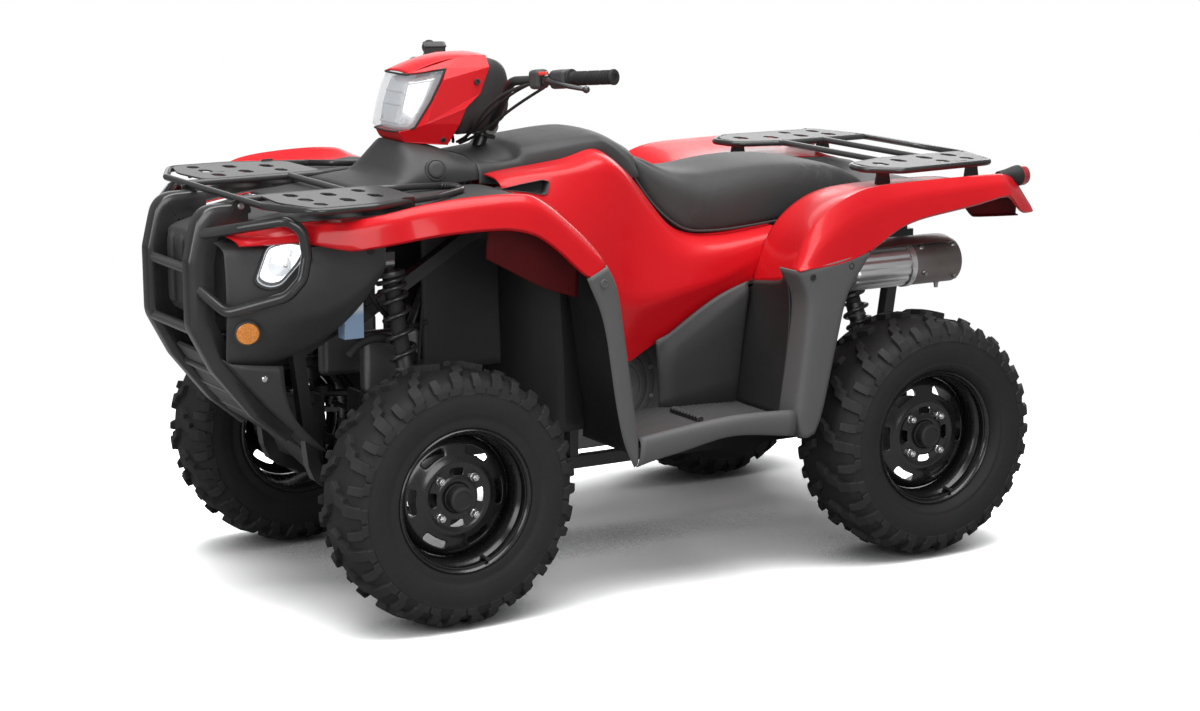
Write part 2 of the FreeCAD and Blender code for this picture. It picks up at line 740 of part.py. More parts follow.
def frame():
    """Two side loops of square tube joined by cross members."""
    half = CROSS / 2
    lower = beam([at(812, RAIL_Y, 640), at(770, RAIL_Y, 300), at(640, RAIL_Y, RAIL_Z),
                  at(-840, RAIL_Y, RAIL_Z), at(-900, RAIL_Y, 640)], TUBE, TUBE, 60)
    upper = beam([at(700, RAIL_Y, 640), at(330, RAIL_Y, 860), at(120, RAIL_Y, 740),
                  at(-960, RAIL_Y, 740)], TUBE, TUBE, 60)
    legs = [beam([at(812, RAIL_Y, 600), at(640, RAIL_Y, 690)], TUBE, CROSS),
            beam([at(-395, RAIL_Y, RAIL_Z), at(-395, RAIL_Y, 740)], CROSS, CROSS - 2),
            beam([at(-900, RAIL_Y, 620), at(-900, RAIL_Y, 740)], CROSS, CROSS - 2),
            beam([at(812, RAIL_Y, 630), at(905, RAIL_Y, 880)], CROSS, CROSS - 2)]
    y0, y1 = RAIL_Y - half, RAIL_Y + half
    stays = [upright(-310, 24, y0, y1, 750, SEAT_BASE_FRONT - GAP),
             upright(-600, 24, y0, y1, 750, SEAT_BASE_BACK - GAP),
             upright(-930, 24, y0, y1, 750, DECK_BASE - GAP),
             upright(-20, 24, y0, y1, 750, TANK_BASE - GAP),
             box(893, 930 - GAP, y0, y1, 866, 890),
             upright(620, CROSS, y0, y1, 680, 842),
             upright(620, CROSS, y0, 252, 824, 842),
             upright(-690, CROSS, y0, y1, 740, 772),
             upright(-690, CROSS, y0, 200, 753, 772),
             upright(722, 16, y1 - 3, 216 - GAP, 652, 668)]
    for x in (70, -270):
        stays.append(upright(x, 24, y0, y1, RAIL_Z, 386 - GAP))
        stays.append(upright(x, 24, y0, 420, 364, 386 - GAP))
    side = lower.fuse([upper] + legs + stays + pivot_brackets(FRONT_AXLE_X, FRONT_BASE)
                      + pivot_brackets(REAR_AXLE_X, REAR_BASE))
    cross = []
    for x, z in ((812, 620), (640, RAIL_Z), (-480, RAIL_Z), (-840, RAIL_Z),
                 (385, 826), (-380, 740), (-930, 740), (-868, 400)):
        cross.append(box(x - half, x + half, -RAIL_Y, RAIL_Y, z - half, z + half))
    collar_foot = COLUMN_FOOT + COLUMN_WAY * 440
    collar = rod(collar_foot, collar_foot + COLUMN_WAY * 40, STEM_R + 14)
    plate = size("hitch_plate")
    tongue = box(-970, -868, -32, 32, 400 - plate / 2, 400 + plate / 2)
    whole = side.fuse([mirrored(side)] + cross + [collar, tongue])
    hitch = Part.makeCylinder(size("hitch_bore") / 2, 3 * plate,
                              at(-945, 0, 400 - 1.5 * plate), Z_AXIS)
    passage = bore(collar_foot - COLUMN_WAY * 40, collar_foot + COLUMN_WAY * 80, STEM_R + RUN)
    return whole.cut([hitch, passage])


keep("main_frame", frame())


def engine():
    """Crankcase with its leaning cylinder, one closed block."""
    body = doc.addObject("PartDesign::Body", "engine")
    body.Label = "engine"
    outline = [(262, 300), (262, 470), (150, 560), (176, 690), (10, 712), (-40, 590),
               (-315, 560), (-345, 420), (-345, 276), (210, 276)]
    corners = [at(x, 0, z) for x, z in outline]
    sketch = body.newObject("Sketcher::SketchObject", "engine_outline")
    plane = [f for f in body.Origin.OriginFeatures if f.Role == "XZ_Plane"][0]
    sketch.AttachmentSupport = [(plane, "")]
    sketch.MapMode = "FlatFace"
    lines = [Part.LineSegment(V(a.x, a.z, 0), V(b.x, b.z, 0))
             for a, b in zip(corners, corners[1:] + corners[:1])]
    sketch.addGeometry(lines, False)
    pad = body.newObject("PartDesign::Pad", "engine_width")
    pad.Profile = sketch
    pad.SideType = "Symmetric"
    pad.setExpression("Length", "2 * Sizes.rail_half_span - Sizes.frame_tube - 2 * Sizes.seat_gap")
    pieces.append(body)


engine()
ENGINE_SIDE = RAIL_Y - TUBE / 2 - GAP

MUFFLER_Y = 316
MUFFLER_R = size("muffler_radius")
MUFFLER_START = at(-620, MUFFLER_Y, 700)
MUFFLER_END = MUFFLER_START - V(size("muffler_length"), 0, 0)
SHIELD_GAP = 6


def exhaust():
    """Head pipe, muffler barrel with end cap and tail pipe."""
    start, end = MUFFLER_START, MUFFLER_END
    barrel = rod(start, end, MUFFLER_R, 12)
    cone = faceted([ring_round(start + V(34, 0, 0), V(-1, 0, 0), 24, 12),
                    ring_round(start, V(-1, 0, 0), MUFFLER_R, 12)])
    pipe = tube([V(station(60), ENGINE_SIDE + GAP, level(600)), at(60, 172, 600),
                 at(-40, 205, 650), at(-480, 205, 692), start + V(20, 0, 0)], 18, 30, 8)
    tail = rod(end + V(1, 0, 0), end - V(20, 0, 0), 17, 8)
    rail_side = RAIL_Y + TUBE / 2 + GAP
    hanger = face_of([at(-800, y, z) for y, z in
                      ((rail_side, 744), (rail_side, 728), (262, 684), (270, 700))])
    hanger = hanger.extrude(V(30, 0, 0))
    bosses = [rod(p + Z_AXIS * (MUFFLER_R - 4), p + Z_AXIS * (MUFFLER_R + SHIELD_GAP + 0.1), 10, 8)
              for p in (start - V(60, 0, 0), end + V(60, 0, 0))]
    return barrel.fuse([cone, pipe, tail, hanger] + bosses)


keep("exhaust", exhaust())


def muffler_shield():
    """Curved guard over the upper half of the muffler."""
    radius = MUFFLER_R + SHIELD_GAP + 3
    ring = []
    for turn in range(-60, 91, 30):
        angle = math.radians(turn)
        ring.append((MUFFLER_Y + radius * math.sin(angle), 700 + radius * math.cos(angle)))
    return panel([(-640, ring[::-1]), (-930, ring[::-1])], -3)


keep("muffler_shield", muffler_shield())

# Body panels

SEAM_Y = 150
INNER = SEAM_Y - GAP
OUTER = SEAM_Y + GAP
SIDE_PANEL = [
    (332, [(OUTER, 989.5), (151.8, 989.5), (153.3, 989.5)]),
    (262, [(OUTER, 998), (220, 984), (238, 966)]),
    (200, [(OUTER, 1003), (240, 966), (284, 925)]),
    (160, [(OUTER, 1006), (250, 958), (312, 872)]),
    (76, [(OUTER, 1015), (246, 958), (306, 800)]),
    (40, [(OUTER, 1032), (240, 950), (303, 745)]),
    (6, [(OUTER, 1034), (236, 940), (302, 590)]),
    (-6, [(152, 1030), (232, 930), (300, 500)]),
    (-50, [(172, 965), (226, 880), (275, 532)]),
    (-121, [(206, 842), (252, 790), (272, 566)]),
    (-199, [(208, 786), (256, 756), (272, 612)]),
    (-331, [(208, 792), (256, 764), (270, 668)]),
    (-474, [(208, 812), (252, 788), (262, 742)]),
]
keep("side_panels", both(panel(SIDE_PANEL, -WALL)))

FRONT_FENDER = [
    (1000, [(OUTER, 906), (205, 904), (246, 898), (258, 886)]),
    (930, [(OUTER, 930), (252, 920), (292, 902), (303, 880)]),
    (871, [(OUTER, 938), (290, 932), (308, 914), (322, 870)]),
    (800, [(OUTER, 946), (360, 945), (414, 946), (436, 890)]),
    (735, [(OUTER, 950), (400, 950), (478, 968), (506, 900)]),
    (675, [(OUTER, 954), (430, 955), (508, 988), (545, 918)]),
    (585, [(OUTER, 960), (430, 958), (510, 995), (545, 924)]),
    (440, [(OUTER, 968), (430, 964), (510, 998), (545, 922)]),
    (386, [(OUTER, 976), (420, 972), (510, 994), (546, 897)]),
    (332, [(153.6, 988), (420, 974), (510, 956), (547, 860)]),
    (262, [(238.6, 966), (420, 920), (510, 892), (549, 790)]),
    (200, [(284.6, 925), (420, 872), (512, 824), (536, 802)]),
]
keep("front_fenders", both(panel(FRONT_FENDER, -WALL)))

REAR_FENDER = [
    (-306, [(276, 702), (330, 702), (470, 740), (553, 764)]),
    (-345, [(274, 745), (330, 760), (500, 800), (555, 763)]),
    (-413, [(268, 810), (330, 830), (510, 880), (555, 761)]),
    (-490, [(256, 868), (330, 880), (520, 926), (555, 773)]),
    (-560, [(245, 898), (330, 905), (520, 943), (555, 812)]),
    (-668, [(240, 905), (400, 912), (520, 944), (555, 856)]),
    (-850, [(240, 908), (420, 912), (520, 945), (555, 878)]),
    (-960, [(240, 905), (420, 908), (505, 943), (548, 896)]),
    (-1010, [(240, 896), (400, 900), (490, 932), (530, 840)]),
    (-1074.5, [(400, 850), (440, 858), (470, 866), (500, 836)]),
]
LAMP_R = 27
LAMP_AT = (470, 926)
lamp_room = rod(at(-1000, *LAMP_AT), at(-1100, *LAMP_AT), LAMP_R + GAP, 12)
keep("rear_fenders", both(panel(REAR_FENDER, -WALL).cut(lamp_room)))
keep("tail_lamps", both(rod(at(-1034, *LAMP_AT), at(-1068, *LAMP_AT), LAMP_R, 12)))

WELL_Y = 277
FLANK_Y = 552


def sheet_along(line, wall, y0, y1):
    """Sheet that follows a line seen from the side, its wall to the left."""
    return side_plate(walled(line, wall), y0, y1)


def footwell():
    """Mudguards before and behind the foot, floorboard and inner wall."""
    front_face = sheet_along([(119.6, 382), (121, 396), (137, 492), (159, 647), (178, 764)],
                             WALL, WELL_Y, FLANK_Y)
    front_flank = side_plate([(256, 784), (206, 795), (178, 764), (159, 647), (137, 492),
                              (121, 396), (129, 326), (136, 326), (164, 381), (197, 585),
                              (227, 713)], FLANK_Y - WALL, FLANK_Y)
    floor = box(-311, 118, WELL_Y, FLANK_Y, 386, 390)
    skirt = side_plate([(129, 326), (121, 396), (52, 404), (-42, 414), (-144, 422),
                        (-282, 416), (-325, 416), (-320, 355), (-307, 351), (-121, 377),
                        (75, 340)], FLANK_Y - WALL, FLANK_Y)
    back_face = sheet_along([(-352, 696), (-352, 657), (-322, 439), (-310, 368.6)], WALL,
                            WELL_Y, FLANK_Y)
    back_flank = side_plate([(-318, 757), (-352, 690), (-352, 657), (-322, 439), (-307, 351),
                             (-336, 340), (-360, 352), (-389, 390), (-427, 622), (-467, 708),
                             (-480, 740), (-413, 755)], FLANK_Y - WALL, FLANK_Y)
    wall = side_plate([(-96, 388), (-120, 548), (-252, 628), (-352, 684), (-352, 657),
                       (-322, 439), (-313, 386.2)], WELL_Y, WELL_Y + WALL)
    return front_face.fuse([front_flank, floor, skirt, back_face, back_flank, wall])


left_well = footwell()
keep("footwell_left", left_well)
keep("footwell_right", mirrored(left_well))

stem_room = rod(COLUMN_TOP - COLUMN_WAY * 220, COLUMN_TOP + COLUMN_WAY * 100, STEM_R + 8, 10)
keep("tank_cover", hull([
    (332, [(0, 1024), (110, 1020), (142, 1006), (INNER, 990), (0, 990)]),
    (250, [(0, 1040), (90, 1034), (142, 1004), (INNER, 980), (0, 980)]),
    (180, [(0, 1053), (90, 1044), (142, 1008), (INNER, 960), (0, 960)]),
    (76, [(0, 1063), (96, 1054), (142, 1018), (INNER, TANK_BASE), (0, TANK_BASE)]),
    (20, [(0, 1069), (100, 1060), (142, 1036), (INNER, TANK_BASE), (0, TANK_BASE)]),
    (-40, [(0, 1064), (96, 1056), (142, 1012), (INNER, TANK_BASE), (0, TANK_BASE)]),
    (-122 + GAP, [(0, 1030), (80, 1020), (130, 960), (130, 948), (0, 948)]),
]).cut(stem_room))

keep("neck_cover", hull([
    (640, [(0, 1020), (120, 1014), (142, 996), (INNER, 960), (0, 960)]),
    (560, [(0, 1062), (100, 1056), (144, 1010), (INNER, 966), (0, 966)]),
    (506, [(0, 1067), (100, 1058), (144, 1012), (INNER, 970), (0, 970)]),
    (440, [(0, 1053), (100, 1040), (144, 1005), (INNER, 975), (0, 975)]),
    (400, [(0, 1030), (110, 1020), (144, 1000), (INNER, 978), (0, 978)]),
    (332 + GAP, [(0, 1024), (110, 1020), (142, 1006), (INNER, 990), (0, 990)]),
]).cut(stem_room))

SEAT_HALF = size("seat_half_width")
keep("seat", hull([
    (-122, [(0, 1022), (60, 1014), (112, 988), (112, 960), (0, 960)]),
    (-189, [(0, 981), (90, 972), (150, 930), (150, 880), (0, 880)]),
    (-247, [(0, 952), (110, 944), (SEAT_HALF + 20, 880), (SEAT_HALF + 20, 826), (0, 826)]),
    (-300, [(0, 943), (130, 936), (SEAT_HALF + 40, 860), (SEAT_HALF + 40, SEAT_BASE_FRONT),
            (0, SEAT_BASE_FRONT)]),
    (-480, [(0, 958), (140, 952), (SEAT_HALF + 48, 880), (SEAT_HALF + 48, 812), (0, 812)]),
    (-590, [(0, 958), (140, 950), (SEAT_HALF + 46, 890), (SEAT_HALF + 46, SEAT_BASE_BACK),
            (0, SEAT_BASE_BACK)]),
    (-760, [(0, 926), (130, 918), (SEAT_HALF + 20, 870), (SEAT_HALF + 20, 842), (0, 842)]),
    (-852, [(0, 866), (100, 862), (130, 856), (130, 846), (0, 846)]),
]))

DECK_EDGE = 240 - GAP


def rear_deck():
    """Dished cover between the rear fenders, behind the seat."""
    rows = [(-858, 904, 852), (-960, 901, 861), (-1030, 886, 868)]
    return panel([(x, [(DECK_EDGE, edge), (190, middle), (-190, middle), (-DECK_EDGE, edge)])
                  for x, edge, middle in rows], WALL)


keep("rear_deck", rear_deck())

# Front end


LAMP_WINDOW = [(941, 802), (899, 872), (800, 866), (880, 784)]


def nose_cover():
    """Lower fascia with its side cheeks round the lamps."""
    cheek = [
        (1010, [(OUTER, 880), (200, 876), (215, 748), (180, 616)]),
        (940, [(OUTER, 890), (262, 884), (285, 748), (182, 604)]),
        (860, [(OUTER, 896), (300, 882), (306, 730), (184, 600)]),
        (700, [(230, 890), (304, 880), (306, 778), (288, 740)]),
        (650, [(235, 880), (302, 872), (304, 826), (290, 800)]),
    ]
    return both(panel(cheek, -WALL).cut(side_plate(LAMP_WINDOW, 190, 340)))


keep("nose_cover", nose_cover())


def headlamp():
    """Clear lower lamp that fills the window of the cheek."""
    ring = inset(LAMP_WINDOW, 0.5, True)
    front = [at(x, 300 - (x - 800) * 0.291 + (866 - z) * 0.235, z) for x, z in ring]
    back = [at(x, 222, z) for x, z in ring]
    return faceted([front, back])


keep("headlamps", both(headlamp()))

keep("nose_center", hull([
    (1030, [(0, 898), (90, 890), (90, 700), (0, 700)]),
    (962, [(0, 918), (INNER, 906), (INNER, 690), (0, 690)]),
    (931, [(0, 924), (INNER, 912), (INNER, 700), (0, 700)]),
    (930, [(0, 924), (INNER, 912), (INNER, 904), (0, 916)]),
    (800, [(0, 948), (INNER, 938), (INNER, 930), (0, 940)]),
    (640 + GAP, [(0, 970), (INNER, 962), (INNER, 954), (0, 962)]),
]))

keep("coolant_tank", box(690, 738, 216, 252, 648, 764))


def skid_plate():
    """Guard under the nose, folded up at the front."""
    outline = [(1014, 612), (1006, 616), (928, 498), (880, 446), (786, 378), (654, 237.7),
               (540, 237.7), (540, 231.7), (657, 231.7), (790, 370), (886, 438), (936, 492)]
    return side_plate(outline, -92, 92)


keep("skid_plate", skid_plate())

BUMPER_Y = 124


def front_bumper():
    """Two deep uprights, cross bars and the side guards of the lamps."""
    upright_path = [(925, 949.7), (1030, 949.7), (1056.5, 840), (1056.5, 690), (1004, 590),
                    (912, 474), (836, 410)]
    upright_bar = beam([at(x, BUMPER_Y, z) for x, z in upright_path], 50, 36, 30)
    guard = tube([at(1030, 136, 903), at(985, 240, 926), at(912, 338, 950), at(880, 348, 925),
                  at(872, 348, 870), at(882, 345, 815), at(915, 336, 778), at(1022, 240, 735),
                  at(1042, 136, 775)], 12, 30, 6)
    arm = box(825 + GAP, 1024, RAIL_Y - 14, RAIL_Y + 10, 603, 623)
    left = upright_bar.fuse([guard, arm])
    cross = [rod(at(1056, -BUMPER_Y, z), at(1056, BUMPER_Y, z), 12, 6) for z in (819, 681)]
    return left.fuse([mirrored(left)] + cross)


keep("front_bumper", front_bumper())
RACK_R = size("rack_tube_radius")


def stamped_plate(outline, windows, height):
    """Sheet on top of the rack tubes with its openings."""
    top = level(height) + RACK_R
    plate = level_plate(outline, top - 5, top)
    return plate.cut([level_plate(window, top - 20, top + 10) for window in windows])


def rack_loop(half, height):
    """Tube that follows half an outline, crosses over and comes back mirrored."""
    path = half + [(x, -y) for x, y in half[::-1]]
    return tube([at(x, y, height) for x, y in path], RACK_R, 26, 6)


def rack_post(x, y, low, height):
    """Short post from a fender up into the plate."""
    return rod(at(x, y, low), at(x, y, height + RACK_R - 2), RACK_R + 1, 6)


def front_rack():
    """Loop of tube with cross tubes and a stamped plate on each side."""
    z = 978
    loop = rack_loop([(600, 158), (425, 205), (440, 275), (548, 353), (735, 425), (885, 428),
                      (948, 290)], z)
    plate = stamped_plate([(905, 160), (905, 330), (880, 424), (738, 421), (600, 374),
                           (600, 160)],
                          [[(880, 200), (880, 250), (800, 250), (800, 200)],
                           [(760, 220), (760, 270), (680, 270), (680, 220)],
                           [(850, 300), (830, 370), (740, 370), (740, 300)]], z)
    side = [plate, rod(at(948, 158, z), at(594, 158, z), RACK_R, 6),
            rack_post(640, 386, 957, z)]
    middle = rod(at(685, -158, z), at(685, 158, z), RACK_R, 6)
    return loop.fuse(side + [mirrored(piece) for piece in side] + [middle])


keep("front_rack", front_rack())


def rear_rack():
    """Loop of tube with cross tubes and a stamped plate on each side."""
    z = 954
    loop = rack_loop([(-806, 218), (-668, 262), (-650, 345), (-720, 412), (-1015, 395),
                      (-1062, 212)], z)
    plate = stamped_plate([(-1040, 222), (-1050, 260), (-1010, 393), (-722, 411),
                           (-665, 350), (-670, 264), (-785, 224)],
                          [[(-1005, 260), (-990, 350), (-930, 350), (-930, 260)],
                           [(-890, 280), (-890, 360), (-790, 360), (-790, 280)]], z)
    side = [plate, rod(at(-1060, 221, z), at(-778, 221, z), RACK_R, 6),
            rack_post(-720, 330, 910.2, z), rack_post(-1000, 330, 902.4, z)]
    cross = [rod(at(x, -220, z), at(x, 220, z), RACK_R, 6) for x in (-795, -925)]
    return loop.fuse(side + [mirrored(piece) for piece in side] + cross)


keep("rear_rack", rear_rack())

# Head pod on the handlebar

POD = [
    (505, [(0, 1112), (56, 1110), (70, 1100), (66, 1088), (0, 1088)]),
    (470, [(0, 1180), (78, 1170), (92, 1100), (86, 1068), (0, 1066)]),
    (430, [(0, 1238), (82, 1226), (104, 1120), (92, 1060), (0, 1060)]),
    (380, [(0, 1266), (86, 1262), (110, 1150), (96, 1090), (0, 1090)]),
    (320, [(0, 1270), (84, 1266), (106, 1180), (96, 1150), (0, 1150)]),
    (280, [(0, 1262), (80, 1260), (96, 1230), (92, 1215), (0, 1215)]),
]
LENS = [(520, 1096), (484, 1104), (428, 1218), (452, 1240), (520, 1180)]


def inner_pod():
    """Hollow of the pod, open to the rider."""
    rows = []
    for x, half in POD:
        rows.append((x - 5, [(max(y - WALL, 0), z - WALL if index < 2 else z)
                             for index, (y, z) in enumerate(half)]))
    for index, (x, half) in enumerate(rows):
        half[3] = (half[3][0], half[3][1] + WALL)
        half[4] = (0, half[4][1] + WALL)
    rows.append((260, rows[-1][1]))
    return hull(rows)


def head_cowl():
    """Painted shell of the pod with the lamp's window and an open foot."""
    shell = hull(POD).cut(inner_pod())
    window = side_plate(LENS, -74, 74)
    foot = box(270, 352, -62, 62, 1060, 1200)
    return shell.cut([window, foot])


keep("head_cowl", head_cowl())


def head_lamp():
    """Lens of the pod with its reflector housing."""
    lens = side_plate(inset(LENS, -0.5, True), -74 + GAP, 74 - GAP)
    return hull(POD).common(lens)


keep("head_lamp", head_lamp())
keep("meter_cowl", hull([
    (280 - GAP, [(0, 1262), (80, 1260), (96, 1230), (84, 1200), (0, 1200)]),
    (222, [(0, 1264), (70, 1258), (80, 1210), (70, 1196), (0, 1196)]),
]))


# Writing each sub-part to its own file

doc.recompute()
for feature in pieces:
    shape = feature.Shape
    if shape.isNull() or not shape.isValid() or "Invalid" in feature.State:
        raise RuntimeError("unusable shape: " + feature.Label)
    shape.exportStep("parts/" + feature.Label + ".step")
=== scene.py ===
# %% [markdown]
# # A quad bike, dressed part by part
# The CAD model settles where every part is and how it moves. This lesson gives each part the
# shape and finish that the eye expects: chevron tyres, pressed rims, glossy and grained
# plastics, bent tube, coil springs and a foam seat. Lengths are written in millimetres, as a
# workshop would, and turned into metres where a mesh is made.

# %% The frame and two scales
import math

import bmesh
import bpy
from mathutils import Matrix, Vector


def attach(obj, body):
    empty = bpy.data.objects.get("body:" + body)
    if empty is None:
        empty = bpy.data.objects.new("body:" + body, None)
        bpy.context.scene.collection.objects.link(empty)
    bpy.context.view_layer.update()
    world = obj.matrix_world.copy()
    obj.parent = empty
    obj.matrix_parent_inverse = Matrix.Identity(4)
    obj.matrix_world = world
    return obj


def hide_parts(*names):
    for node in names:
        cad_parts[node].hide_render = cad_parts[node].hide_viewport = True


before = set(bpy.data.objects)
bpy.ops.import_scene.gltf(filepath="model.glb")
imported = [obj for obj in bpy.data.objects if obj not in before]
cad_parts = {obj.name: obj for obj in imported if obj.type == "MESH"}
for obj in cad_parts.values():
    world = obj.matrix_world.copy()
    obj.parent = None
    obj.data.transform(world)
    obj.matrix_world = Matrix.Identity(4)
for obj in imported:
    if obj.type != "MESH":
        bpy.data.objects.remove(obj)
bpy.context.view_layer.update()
MM = 0.001
HANDS = (("left", 1), ("right", -1))

# %% [markdown]
# ## Camera
# The photograph was taken from the front left, a little above the handlebar, with a long lens
# that keeps both ends of the vehicle nearly the same size. A long lens on a far camera gives
# that flat, catalogue look. The place and angles were found by matching known points.

# %% Camera
scene = bpy.context.scene
EYE = Vector((3397.7, 5942.8, 1867.7)) * MM
YAW, PITCH, ROLL = (math.radians(angle) for angle in (-120.40, -11.38, -0.23))
sight = Vector((math.cos(PITCH) * math.cos(YAW), math.cos(PITCH) * math.sin(YAW), math.sin(PITCH)))
level_right = sight.cross(Vector((0, 0, 1))).normalized()
level_up = level_right.cross(sight)
right = level_right * math.cos(ROLL) + level_up * math.sin(ROLL)
up = level_up * math.cos(ROLL) - level_right * math.sin(ROLL)
lens = bpy.data.cameras.new("studio_camera")
lens.sensor_width = 36
lens.lens = 83.16
camera = bpy.data.objects.new("studio_camera", lens)
camera.matrix_world = Matrix.Translation(EYE) @ Matrix((right, up, -sight)).transposed().to_4x4()
scene.collection.objects.link(camera)
scene.camera = camera
scene.view_settings.view_transform = "Standard"
print("Camera distance to the middle:", round((EYE - Vector((0, 0, 0.6))).length, 2), "m")

# %% [markdown]
# ## Shader maths in plain Python
# A material is a small calculation that runs at every point of a surface. Node editors show it
# as boxes and wires; here a wrapped socket takes part in sums and products, so that
# `1 - mask * 0.3` builds the Math nodes by itself. One method makes every other kind of node.

# %% Wrapped sockets and finishes
class Field:
    """One node output that can be added, multiplied and subtracted."""

    def __init__(self, finish, socket):
        self.finish, self.socket = finish, socket

    def maths(self, operation, first, second):
        return self.finish.node("ShaderNodeMath", {"operation": operation}, {0: first, 1: second})

    def __add__(self, other):
        return self.maths("ADD", self, other)

    def __radd__(self, other):
        return self.maths("ADD", other, self)

    def __sub__(self, other):
        return self.maths("SUBTRACT", self, other)

    def __rsub__(self, other):
        return self.maths("SUBTRACT", other, self)

    def __mul__(self, other):
        return self.maths("MULTIPLY", self, other)

    def __rmul__(self, other):
        return self.maths("MULTIPLY", other, self)

    def __pow__(self, other):
        return self.maths("POWER", self, other)


class Finish:
    """A material whose nodes end in one Principled shader."""

    def __init__(self, name, **constants):
        self.material = bpy.data.materials.new(name)
        self.material.use_nodes = True
        self.tree = self.material.node_tree
        self.shader = self.tree.nodes["Principled BSDF"]
        self.set(**constants)

    def set(self, **sockets):
        for name, value in sockets.items():
            self.feed(self.shader.inputs[name.replace("_", " ")], value)

    def feed(self, socket, value):
        if isinstance(value, Field):
            self.tree.links.new(value.socket, socket)
        else:
            socket.default_value = value

    def node(self, kind, settings=None, sockets=None, output=0):
        made = self.tree.nodes.new(kind)
        for name, value in (settings or {}).items():
            if name == "stops":
                ramp = made.color_ramp.elements
                while len(ramp) < len(value):
                    ramp.new(1)
                for stop, (place, shade) in zip(ramp, value):
                    stop.position, stop.color = place, (shade, shade, shade, 1)
            else:
                setattr(made, name, value)
        for name, value in (sockets or {}).items():
            self.feed(made.inputs[name], value)
        return Field(self, made.outputs[output])

    def place(self):
        return self.node("ShaderNodeTexCoord", output="Object")

    def noise(self, per_metre, detail=3, roughness=0.5):
        return self.node("ShaderNodeTexNoise", None,
                         {"Vector": self.place(), "Scale": per_metre, "Detail": detail,
                          "Roughness": roughness}, "Fac")

    def cells(self, per_metre, feature="F1"):
        return self.node("ShaderNodeTexVoronoi", {"feature": feature},
                         {"Vector": self.place(), "Scale": per_metre}, "Distance")

    def ramp(self, field, *stops):
        return self.node("ShaderNodeValToRGB", {"stops": stops}, {"Fac": field})

    def upward(self):
        """1 where the surface faces up, 0 where it is upright or faces down."""
        normal = self.node("ShaderNodeNewGeometry", output="Normal")
        height = self.node("ShaderNodeSeparateXYZ", None, {0: normal}, "Z")
        return self.ramp(height, (0.2, 0), (1.0, 1))

    def edges(self):
        """1 on outward edges, where hands and boots rub a finish through."""
        pointed = self.node("ShaderNodeNewGeometry", output="Pointiness")
        return self.ramp(pointed, (0.53, 0), (0.62, 1))

    def shade(self, factor, dark, pale):
        return self.node("ShaderNodeMix", {"data_type": "RGBA"},
                         {0: factor, 6: dark + (1,), 7: pale + (1,)}, 2)

    def tint(self, factor, base, over):
        return self.node("ShaderNodeMix", {"data_type": "RGBA"},
                         {0: factor, 6: base, 7: over + (1,)}, 2)

    def bump(self, height, strength, millimetres):
        return self.node("ShaderNodeBump", None,
                         {"Strength": strength, "Distance": millimetres * MM, "Height": height})


def grey(value, warmth=0.0):
    """Grey as linear red, green and blue, a little warm or cool."""
    return (value * (1 + warmth), value, value * (1 - warmth))


print("Finishes so far:", len(bpy.data.materials))

# %% [markdown]
# ## Finishes
# The vehicle has two families of plastic: glossy coloured panels, and dark panels that are
# grained so that scratches don't show. Each finish gets three scales of detail. Broad noise
# drifts the colour by a few percent, fine noise or cells make the grain, and a mask of upward
# or edge surfaces carries dust and rubbing. Grain goes through a Bump node because it's far too
# small to model.

# %% Glossy red plastic
def red_plastic():
    """Moulded-in red with a clear gloss and faint flow marks."""
    made = Finish("red_panel_gloss", Coat_Roughness=0.08, Coat_IOR=1.45, Specular_IOR_Level=0.22)
    drift = made.noise(3.5, 2)
    colour = made.shade(drift, (0.50, 0.0042, 0.0085), (0.60, 0.0060, 0.012))
    dust = made.upward() * made.noise(24, 5, 0.6)
    made.set(Base_Color=made.tint(dust * 0.02, colour, (0.75, 0.30, 0.28)),
             Roughness=0.26 + made.noise(60, 4) * 0.14 + dust * 0.06,
             Coat_Weight=0.30 - dust * 0.12,
             Normal=made.bump(made.noise(160, 2), 0.10, 0.35))
    return made.material


RED = red_plastic()


def shaded_red():
    """The same plastic on surfaces never polished, its red darkened as painted shade, gloss dulled
    in patches.
    """
    made = Finish("red_arch_painted_shade", Specular_IOR_Level=0.2)
    shade_mottle = made.noise(12, 5, 0.65)
    made.set(Base_Color=made.shade(shade_mottle, (0.050, 0.0012, 0.002), (0.10, 0.002, 0.004)),
             Roughness=0.55 + shade_mottle * 0.2, Normal=made.bump(made.noise(220, 3), 0.2, 0.2))
    return made.material


# A darker copy of the red: painted shade for the hidden surfaces under the fenders.
RED_PAINTED_SHADE = shaded_red()

# %% Grained dark plastics
def grained_plastic(name, dark, pale, roughness, grain=1500, depth=0.16):
    """Unpainted plastic from a textured mould, dulled a little where it faces up."""
    made = Finish(name, Specular_IOR_Level=0.42)
    drift = made.noise(5, 3)
    colour = made.shade(drift, dark, pale)
    dust = made.upward() * made.noise(30, 5, 0.65)
    worn = made.edges()
    leather = made.cells(grain) + made.noise(grain * 0.6, 2) * 0.7
    made.set(Base_Color=made.tint(worn * 0.16 + dust * 0.10, colour, grey(0.16)),
             Roughness=roughness + made.noise(45, 4) * 0.16 - worn * 0.06,
             Normal=made.bump(leather, 0.35, depth))
    return made.material


DARK = grained_plastic("dark_panel_grain", grey(0.030), grey(0.044), 0.46)
COVER = grained_plastic("cover_panel_grain", grey(0.024), grey(0.034), 0.46)
GUARD = grained_plastic("mudguard_edge_grain", grey(0.078), grey(0.098), 0.52)
WELL = grained_plastic("inner_well_grain", grey(0.010), grey(0.018), 0.55)

